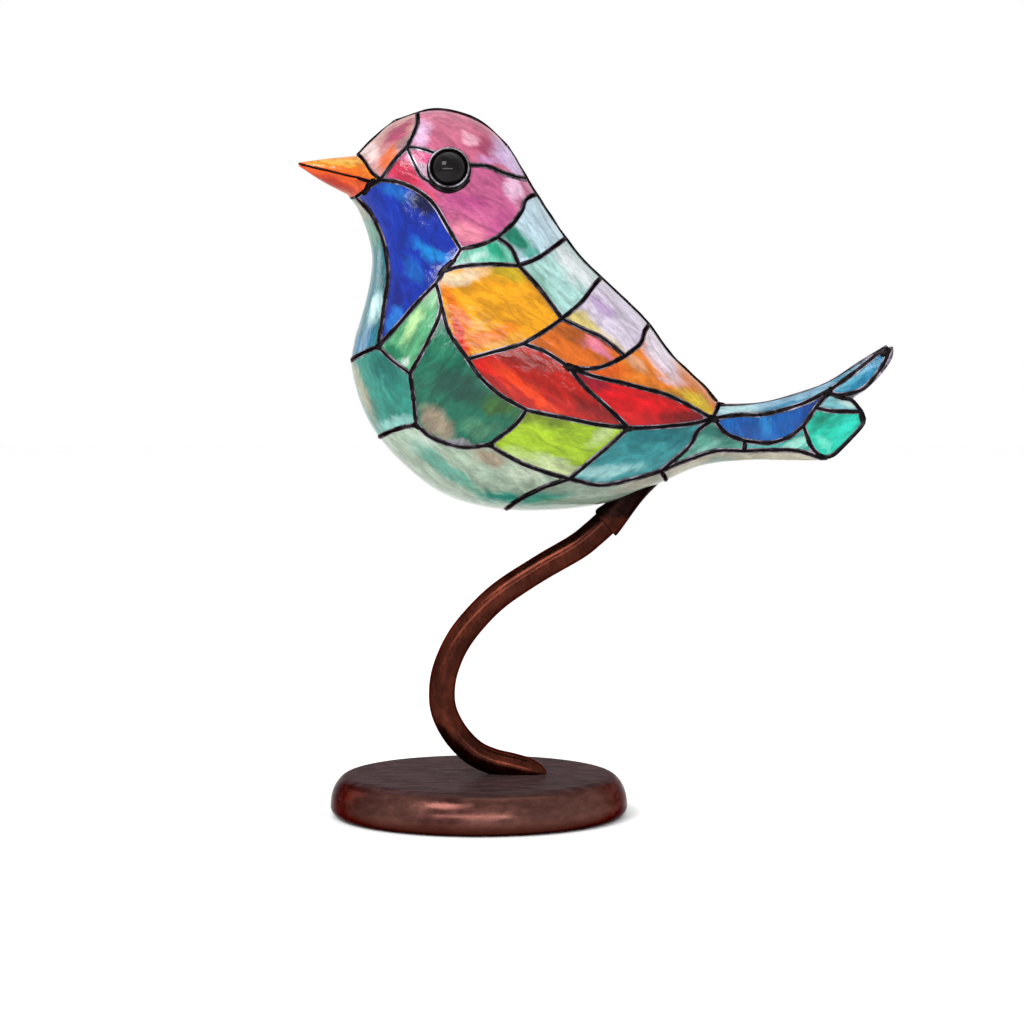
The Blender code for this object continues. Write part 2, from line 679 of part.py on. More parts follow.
def build_collar(parts, cutters):
    """A socket on the stem's end that flares out to the belly above it."""
    line = stem_line()
    axis = (line[-1] - line[-2]).normalized()
    square = Vector((0, 1, 0)).cross(axis).normalized()
    radius = STEM_DIAMETER / 2 + GAP + COLLAR_WALL
    foot = line[-1] - axis * COLLAR_GRIP
    plan = [(foot, radius * square, radius), (line[-1] + axis * GAP, radius * square, radius)]
    for middle, stretch, widen, turned in COLLAR_FLARE:
        across = square.lerp(COLLAR_SLANT.normalized(), turned).normalized()
        plan.append((placed(middle), radius * stretch * across, radius * widen))
    turns = [2 * math.pi * side / LOFT_SIDES for side in range(LOFT_SIDES)]
    rings = [
        [middle + long * math.cos(turn) + Vector((0, wide * math.sin(turn), 0)) for turn in turns]
        for middle, long, wide in plan
    ]
    collar = loft("collar", rings, parts)
    clearance = body_loft("belly clearance", CAME_PROUD + GAP, cutters)
    bore_radius = STEM_DIAMETER / 2 + GAP
    bore = drum("collar bore", foot, axis, bore_radius, 2 * (COLLAR_GRIP + GAP), cutters)
    for cutter in (clearance, bore):
        hide_as_cutter(cutter)
        boolean(collar, "DIFFERENCE", cutter)
    collar.data.materials.append(plain_material("collar", (0.08, 0.04, 0.03), 0.45, 0.9))
    collar.data.shade_smooth()
    collar.data.set_sharp_from_angle(angle=math.radians(40))


def build_base(parts):
    """A turned disc: level top, a long round shoulder and a small round at the foot."""
    radius = BASE_DIAMETER / 2
    widest = BASE_FOOT_ROUND
    profile = [(0, BASE_THICKNESS)]
    for step in range(SHOULDER_STEPS + 1):
        turn = math.pi / 2 * step / SHOULDER_STEPS
        profile.append((
            radius - BASE_SHOULDER + BASE_SHOULDER * math.sin(turn),
            widest + (BASE_THICKNESS - widest) * math.cos(turn),
        ))
    for step in range(1, FOOT_STEPS + 1):
        turn = math.pi / 2 * step / FOOT_STEPS
        profile.append((
            radius - BASE_FOOT_ROUND + BASE_FOOT_ROUND * math.cos(turn),
            BASE_FOOT_ROUND - BASE_FOOT_ROUND * math.sin(turn),
        ))
    profile.append((0, 0))
    shape = bmesh.new()
    points = [shape.verts.new((x, 0, z)) for x, z in profile]
    for first, second in zip(points, points[1:]):
        shape.edges.new((first, second))
    mesh = bpy.data.meshes.new("base")
    shape.to_mesh(mesh)
    shape.free()
    base = new_object("base", mesh, parts)
    screw = base.modifiers.new("Turn", "SCREW")
    screw.steps = TURN_STEPS
    screw.render_steps = TURN_STEPS
    screw.use_merge_vertices = True
    screw.merge_threshold = 0.0001
    screw.use_smooth_shade = True
    base.data.materials.append(plain_material("copper base", (0.30, 0.14, 0.10), 0.35, 0.85))


def eye_fittings(cutters):
    """For each side: the eye's place, the disc its ring covers, the raised rim and the bore."""
    surface = body_loft("head surface", 0, cutters)
    bpy.context.view_layer.update()
    graph = bpy.context.evaluated_depsgraph_get()
    tree = BVHTree.FromObject(surface, graph)
    hide_as_cutter(surface)
    fittings = {}
    for side_name, side in (("left", -1), ("right", 1)):
        place, looks = eye_place(tree, side)
        long = 6 * GLASS_THICKNESS
        ring = drum(f"{side_name} ring", place, looks, RING_RADIUS - EYE_RING_WIDTH / 2, long, cutters)
        hole = drum(f"{side_name} hole", place, looks, RING_RADIUS + GAP, long, cutters)
        bore = drum(f"{side_name} bore", place, looks, EYE_DIAMETER / 2 + GAP, 2 * long, cutters)
        depth = GLASS_THICKNESS + CAME_PROUD + EYE_RING_PROUD
        middle = place + looks * (EYE_RING_PROUD - depth / 2)
        rim = drum(f"{side_name} rim", middle, looks, RING_RADIUS, depth, cutters)
        for cutter in (ring, hole, bore, rim):
            hide_as_cutter(cutter)
        fittings[side_name] = {
            "place": place, "looks": looks, "ring": ring, "hole": hole, "bore": bore, "rim": rim,
        }
    return fittings


def build():
    clear_scene()
    parts = new_collection("stained glass ornament")
    cutters = new_collection("cutters")
    openings = new_collection("openings")
    eyes = eye_fittings(cutters)
    tail_edge = prism("tail edge", [Vector(point) for point in TAIL_EDGE], THROUGH, cutters)
    build_glass(parts, cutters, tail_edge, eyes)
    build_came(parts, cutters, openings, tail_edge, eyes)
    build_beak(parts, cutters)
    for side, eye in eyes.items():
        build_eye(side, eye["place"], eye["looks"], parts)
    build_collar(parts, cutters)
    build_stem(parts, cutters)
    build_base(parts)


build()
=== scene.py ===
"""Looks of the stained glass bird: smooth glass, beaded came, copper stem and base.

The frame gives where everything is. The pattern of lead lines is drawn as the bird is seen from
its side, in units: drawn x runs to the tail and drawn y runs down.
"""

import json
import math

import bmesh
import bpy
from mathutils import Matrix, Vector, noise
from mathutils.bvhtree import BVHTree

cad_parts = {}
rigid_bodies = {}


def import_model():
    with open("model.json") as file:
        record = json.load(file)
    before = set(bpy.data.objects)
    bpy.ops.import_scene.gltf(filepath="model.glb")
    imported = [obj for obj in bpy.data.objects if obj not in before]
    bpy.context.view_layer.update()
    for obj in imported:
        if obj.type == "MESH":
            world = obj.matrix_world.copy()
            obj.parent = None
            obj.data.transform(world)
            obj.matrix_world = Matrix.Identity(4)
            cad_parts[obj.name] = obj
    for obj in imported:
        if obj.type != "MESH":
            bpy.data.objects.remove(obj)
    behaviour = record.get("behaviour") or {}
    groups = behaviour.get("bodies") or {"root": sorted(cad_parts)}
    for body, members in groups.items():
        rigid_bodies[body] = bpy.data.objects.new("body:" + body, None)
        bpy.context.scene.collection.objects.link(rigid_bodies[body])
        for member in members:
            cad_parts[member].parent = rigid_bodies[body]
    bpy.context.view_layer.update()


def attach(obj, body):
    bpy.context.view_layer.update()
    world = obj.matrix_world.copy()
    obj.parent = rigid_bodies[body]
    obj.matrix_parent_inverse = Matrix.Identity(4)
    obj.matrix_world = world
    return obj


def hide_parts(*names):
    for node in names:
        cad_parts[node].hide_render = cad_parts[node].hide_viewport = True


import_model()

# Sizes in metres, the same as those that the frame was built with
UNIT = 0.1695 / 597
DRAWN_RISE = 1.004 * UNIT
GLASS_THICKNESS = 0.0030
GAP = 0.0003
EYE_RADIUS = 0.0054
EYE_RING_WIDTH = 0.0011
STEM_RADIUS = 0.00375
STEM_RISE, STEM_REACH = 0.0724, 0.0365
COLLAR_WALL, COLLAR_LIP = 0.0006, 0.0007
BASE_RADIUS, BASE_THICKNESS = 0.0425, 0.0116
BASE_SHOULDER, BASE_FOOT_ROUND = 0.0057, 0.0028
STEM_END = Vector((STEM_REACH, 0, BASE_THICKNESS + STEM_RISE))

# The drawing: where its stem's end and the bird's eye are, and the far point it is seen from
DRAWN_STEM_END = (607, 523)
DRAWN_EYEBALL = (449, 170)
DRAWN_EYE = (512, 151)
EYE_DISTANCE = 4225
REACH = 150

# How far, in units, panes and foil stand back from a lead line and from the middle plane, and how
# far the foil stands proud of the glass
PANE_INSET, FOIL_INSET, BEAK_INSET = 0.9, 2.5, 1.2
PANE_RIDGE, FOIL_RIDGE = 0.4, 1.8
FOIL_PROUD = 0.35

# A bead of solder in units: half its width, its height, how deep it sits, how far it wanders, and
# how much its girth varies
BEAD_WIDE, THIN_BEAD = 1.9, 1.25
BEAD_HIGH, MOUTH_HIGH, MOUTH_REAR_HIGH = 1.7, 0.8, 1.2
BEAD_SUNK, BEAD_ASTRAY, BEAD_SWELL = 0.35, 0.9, 0.22
BEAD_STEP, CLOSEST_STEP = 3.5, 1.2
EDGE_STEPS, RUN_ON = 10, 5
LEAD_STEP = 5
SAME_POINT = 1.5

# The eye in metres: its black seat, its wire ring and the opening it looks out of. The ball is sunk
# by a share of its width.
EYE_SUNK = 0.22
WIRE = 0.0003
SEAT_RAISED, SEAT_RADIUS, SEAT_DEEP, SEAT_LOW = 0.0003, 0.0062, 0.0024, 0.0007
EYE_OPENING = 0.0051
BORE_DEEP, PANE_BORE_DEEP = 0.012, 0.02

# Each section of the bird: top and bottom as drawn, half its width in units, and its squareness
SECTIONS = {
    "beak root": ((358, 158), (348, 197), 19, 2.0),
    "brow": ((374, 142), (358, 211), 33, 2.0),
    "forehead": ((396, 124), (367, 233), 46, 2.0),
    "crown": ((437, 113), (372, 256), 58, 2.0),
    "poll": ((478, 124), (371, 276), 65, 2.0),
    "hind head": ((507, 149), (367, 297), 71, 2.0),
    "nape": ((528, 184), (361, 319), 78, 2.0),
    "neck": ((549, 217), (354, 343), 88, 2.0),
    "shoulder": ((578, 257), (352, 372), 96, 2.0),
    "breast": ((612, 290), (368, 421), 101, 2.1),
    "back": ((645, 322), (400, 462), 100, 2.1),
    "loin": ((668, 353), (448, 497), 94, 2.1),
    "rump": ((687, 372), (512, 511), 80, 2.1),
    "tail base": ((704, 388), (590, 507), 60, 2.1),
    "vent": ((717, 403), (648, 489), 42, 2.2),
    "coverts": ((738, 405), (700, 467), 27, 2.4),
    "tail root": ((765, 403), (748, 461), 17, 3.0),
    "tail middle": ((795, 395), (787, 461), 12, 4.0),
    "fork": ((828, 383), (822, 461), 10, 4.0),
    "feather": ((862, 361), (852, 458), 8, 4.0),
    "tail tip": ((897, 340), (884, 446), 7, 4.0),
}
HOLLOW_FROM, HOLLOW_TO = "brow", "tail base"

# Beak sections in the same form, from the tip to the last one, inside the head
BEAK_SECTIONS = [
    ((299, 165), (300, 169), 2, 2.0),
    ((328, 161), (323, 184), 11, 2.0),
    ((358, 158), (348, 197), 23, 2.0),
    ((378, 154), (368, 207), 38, 2.0),
]
MOUTH_LINE = [(290, 164), (300, 167), (325, 172), (350, 178), (385, 186)]
MOUTH_REAR = [(352, 178), (362, 182), (372, 184), (381, 182)]

# Lead lines run under the eye's ring up to this share of its radius.
UNDER_RING = 0.86
RING_RADIUS = EYE_RADIUS + GAP + EYE_RING_WIDTH


def at_eye_ring(degrees):
    """The drawn point just under the eye's ring, at this angle clockwise from the tail's side."""
    reach = UNDER_RING * RING_RADIUS / UNIT
    turn = math.radians(degrees)
    return DRAWN_EYEBALL[0] + reach * math.cos(turn), DRAWN_EYEBALL[1] + reach * math.sin(turn)


# Lead lines as drawn. One that meets the ridge or the keel runs on past it.
LEADS = {
    "forehead rear upper": [(414, 90), (418, 121), (415, 134), (407, 150)],
    "forehead rear lower": [(407, 150), (395, 163), (381, 182)],
    "forehead front": [(381, 182), (372, 175), (362, 161), (340, 140)],
    "lore": [(407, 150), (414, 165), (422, 179), at_eye_ring(121)],
    "under eye": [(430, 184), (438, 191), (449, 194), (461, 190), (469, 182)],
    "eye front": [(407, 150), (420, 151), at_eye_ring(225)],
    "brow": [at_eye_ring(-8), (488, 169), (505, 176), (525, 181), (560, 186)],
    "throat top": [(381, 182), (400, 185), (420, 194), (435, 208), (448, 230), (461, 251)],
    "cheek rear": [(565, 190), (529, 199), (522, 212), (512, 226), (497, 239)],
    "cheek lower": [(497, 239), (482, 246), (461, 251)],
    "chin": [(381, 182), (368, 190), (356, 199)],
    "throat front": [(356, 199), (372, 217), (384, 245), (388, 275), (384, 308), (378, 348)],
    "throat rear": [(461, 251), (454, 262), (444, 273)],
    "wedge apex": [(444, 273), (436, 285)],
    "throat lower": [(436, 285), (418, 303), (398, 326), (378, 348)],
    "gold front": [(436, 285), (439, 296), (441, 308)],
    "wedge right": [(441, 308), (437, 324), (425, 348), (410, 375)],
    "wedge lower": [(378, 348), (393, 362), (410, 375)],
    "chest top": [(378, 348), (363, 354), (330, 374)],
    "chest rear": [(410, 375), (413, 398), (416, 426)],
    "chest lower": [(416, 426), (400, 429), (381, 437), (350, 456)],
    "gold left": [(441, 308), (449, 333), (467, 360)],
    "gold top": [(444, 273), (460, 268), (490, 266), (519, 267)],
    "neck rear": [(497, 239), (511, 250), (519, 267)],
    "nape lower": [(519, 267), (537, 260), (552, 250), (600, 214)],
    "gold right": [(519, 267), (541, 292), (562, 320)],
    "gold lower": [(562, 320), (545, 332), (523, 345)],
    "red top": [(523, 345), (497, 352), (467, 360)],
    "orange lower": [(523, 345), (545, 353), (568, 368)],
    "wing middle": [(562, 320), (585, 331), (604, 340), (625, 357)],
    "aqua rear": [(640, 244), (598, 282), (582, 303), (562, 320)],
    "lilac rear": [(690, 290), (649, 326), (641, 344), (625, 357)],
    "orange rear": [(625, 357), (605, 367), (587, 370), (568, 368)],
    "crimson top": [(568, 368), (592, 377), (630, 386), (672, 398), (713, 420)],
    "crimson left": [(568, 368), (585, 388), (605, 406), (629, 429)],
    "crimson lower": [(629, 429), (660, 428), (690, 425), (713, 420)],
    "red lower": [(629, 429), (595, 425), (560, 418), (526, 411)],
    "red left": [(467, 360), (480, 378), (500, 396), (526, 411)],
    "lime front": [(526, 411), (515, 426), (489, 446)],
    "lime lower": [(489, 446), (515, 461), (542, 472), (569, 480)],
    "lime rear": [(629, 429), (605, 450), (569, 480)],
    "belly top": [(416, 426), (434, 440), (462, 448), (489, 446)],
    "belly rear": [(569, 480), (540, 490), (508, 509), (480, 545)],
    "flank lower": [(569, 480), (600, 486), (630, 481), (661, 472)],
    "flank rear": [(713, 420), (698, 432), (690, 447), (661, 472)],
    "rump top": [(713, 420), (719, 405), (730, 370)],
    "tail root": [(713, 420), (719, 405)],
    "keel front": [(661, 472), (668, 484), (680, 520)],
    "vent lower": [(661, 472), (688, 461), (716, 452), (744, 452)],
    "vent top": [(713, 420), (727, 435), (745, 442)],
    "vent rear": [(745, 442), (744, 452)],
    "tail upper": [(713, 420), (737, 416), (765, 415), (800, 406), (829, 392)],
    "tip upper": [(829, 392), (850, 377), (870, 361), (884, 350)],
    "tail crest": [(719, 405), (750, 403), (785, 396), (825, 382), (857, 363), (884, 346)],
    "tip lower": [(829, 394), (842, 396), (864, 389), (882, 368), (890, 350)],
    "blue lower": [(745, 442), (770, 444), (790, 438), (804, 427)],
    "blue rear": [(804, 427), (814, 412), (829, 393)],
    "fork lower": [(816, 409), (832, 412), (862, 413)],
    "fork rear": [(816, 409), (829, 394)],
    "notch": [(829, 394), (842, 399), (852, 401), (862, 413)],
    "end edge": [(862, 413), (864, 424), (851, 440), (834, 456), (823, 459)],
    "end front": [(823, 459), (812, 448), (804, 427)],
    "end upper": [(804, 427), (810, 418), (816, 409)],
    "under tail": [(744, 452), (770, 451), (798, 452), (823, 459)],
    "keel edge": [(823, 459), (823, 490)],
}

# Each pane's loop of lead lines, with the corners that close it outside the bird
SIDE_PANES = {
    "forehead": ["forehead rear upper", "forehead rear lower", "forehead front", (380, 90)],
    "crown": ["forehead rear upper", (520, 90), (580, 150), "brow", DRAWN_EYEBALL, "eye front"],
    "eye_front": ["eye front", DRAWN_EYEBALL, "lore"],
    "cheek": [
        "lore", DRAWN_EYEBALL, "brow", "cheek rear", "cheek lower", "throat top", "forehead rear lower"
    ],
    "throat": [
        "throat top", "throat rear", "wedge apex", "throat lower", "throat front", "chin"
    ],
    "neck": ["cheek lower", "neck rear", "gold top", "throat rear"],
    "nape": ["cheek rear", "neck rear", "nape lower"],
    "wedge": ["gold front", "wedge right", "wedge lower", "throat lower"],
    "side": ["wedge right", "chest rear", "belly top", "lime front", "red left", "gold left"],
    "wing_gold": [
        "gold top", "gold right", "gold lower", "red top", "gold left", "gold front", "wedge apex"
    ],
    "wing_orange": ["gold lower", "wing middle", "orange rear", "orange lower"],
    "wing_red": ["red top", "orange lower", "crimson left", "red lower", "red left"],
    "wing_crimson": ["crimson left", "crimson top", "crimson lower"],
    "wing_tip": ["crimson top", "orange rear", "lilac rear", "rump top"],
    "back": ["nape lower", "aqua rear", "gold right"],
    "rear_back": ["aqua rear", "lilac rear", "wing middle"],
    "lime": ["red lower", "lime rear", "lime lower", "lime front"],
    "flank": ["lime rear", "crimson lower", "flank rear", "flank lower"],
    "vent": ["flank rear", "vent top", "vent rear", "vent lower"],
}
THROUGH_PANES = {
    "breast": ["throat front", "chest top", (300, 360), (300, 199)],
    "chest": ["chest top", "wedge lower", "chest rear", "chest lower"],
    "belly": ["chest lower", "belly top", "lime lower", "belly rear", (380, 545)],
    "rear_belly": ["belly rear", "flank lower", "keel front", (580, 545)],
    "under_tail": ["keel front", "vent lower", "under tail", "keel edge"],
    "tail_top": ["tail crest", "tip upper", "tail upper", "tail root"],
    "tail_blue": ["tail upper", "blue rear", "blue lower", "vent top"],
    "tail_tip": ["tip upper", "tip lower"],
    "tail_step": ["notch", "fork lower", "fork rear"],
    "tail_end": ["fork lower", "end edge", "end front", "end upper"],
    "tail_middle": ["blue lower", "end front", "under tail", "vent rear"],
}
EYE_PANES = ("crown", "cheek", "eye_front")

# Past this outline there is no tail. It follows the two feathers and the notch between them.
TAIL_EDGE = [
    (884, 300), (886, 346), (893, 348), (892, 360), (881, 376), (866, 391), (853, 401),
    (865, 416), (860, 432), (842, 449), (828, 461), (826, 500), (960, 500), (960, 300),
]
THIN_LEADS = ("wedge lower", "eye front", "brow", "wing middle", "fork rear", "lore")
# The beak's glass runs on over the head to these lead lines.
BEAK_ROOT = ["forehead front", (300, 140), (300, 215), "chin"]
# Along the ridge there are beads between these sections' tops, with half their width in units.
RIDGE_BEADS = [
    ("beak root", "forehead", 2.9), ("forehead", "hind head", 3.1), ("hind head", "nape", 1.5),
    ("nape", "vent", 2.6),
]
RIDGE_HIGH = 2.5
# Drops of solder on both sides of the bird: drawn middle, half length and width in units, and the
# way the length runs, in degrees clockwise from the tail's side
DROPS = [
    ((572, 369), 10, 4.6, 12), ((446, 269), 11, 3.6, -42),
    ((829, 393), 6, 4.0, -50), ((369, 188), 11, 3.8, -38), ((713, 420), 7, 4.2, 5),
    ((885, 353), 6.5, 4.2, -55), ((629, 430), 6, 3.0, 0), ((745, 447), 5, 2.8, 80),
    ((822, 457), 7, 2.8, 12), ((862, 419), 8, 2.6, 80), ((413, 399), 5, 2.8, 80),
    ((416, 427), 5, 3.2, 30), ((378, 348), 5, 2.8, 0), ((489, 446), 5, 2.6, 0),
]
DROP_HIGH, DROP_SUNK, DROP_UNEVEN = 2.1, 0.4, 0.35

# Above the socket the collar flares to the belly. Each ring there has its drawn middle, how much
# longer and wider it is than the socket, and how far it has turned to the belly's slant.
COLLAR_SLANT = Vector((1, 0, 0.35))
COLLAR_FLARE = [((624, 503), 1.15, 1.1, 0.75), ((640, 487), 1.65, 1.5, 1.0)]

# The stem's path, as shares of its reach and its rise, from the base's middle at its top
STEM_PATH = [
    (0.602, -0.020), (0.439, 0.005), (0.261, 0.030), (0.104, 0.050), (-0.044, 0.086),
    (-0.180, 0.157), (-0.269, 0.243), (-0.289, 0.324), (-0.261, 0.415), (-0.170, 0.521),
    (-0.028, 0.617), (0.170, 0.713), (0.471, 0.814), (0.762, 0.900), (0.891, 0.951),
]
# The rod starts this many steps along the path and comes to its full width in so many more.
TIP_LEFT_OFF, TIP_STEPS = 4, 9

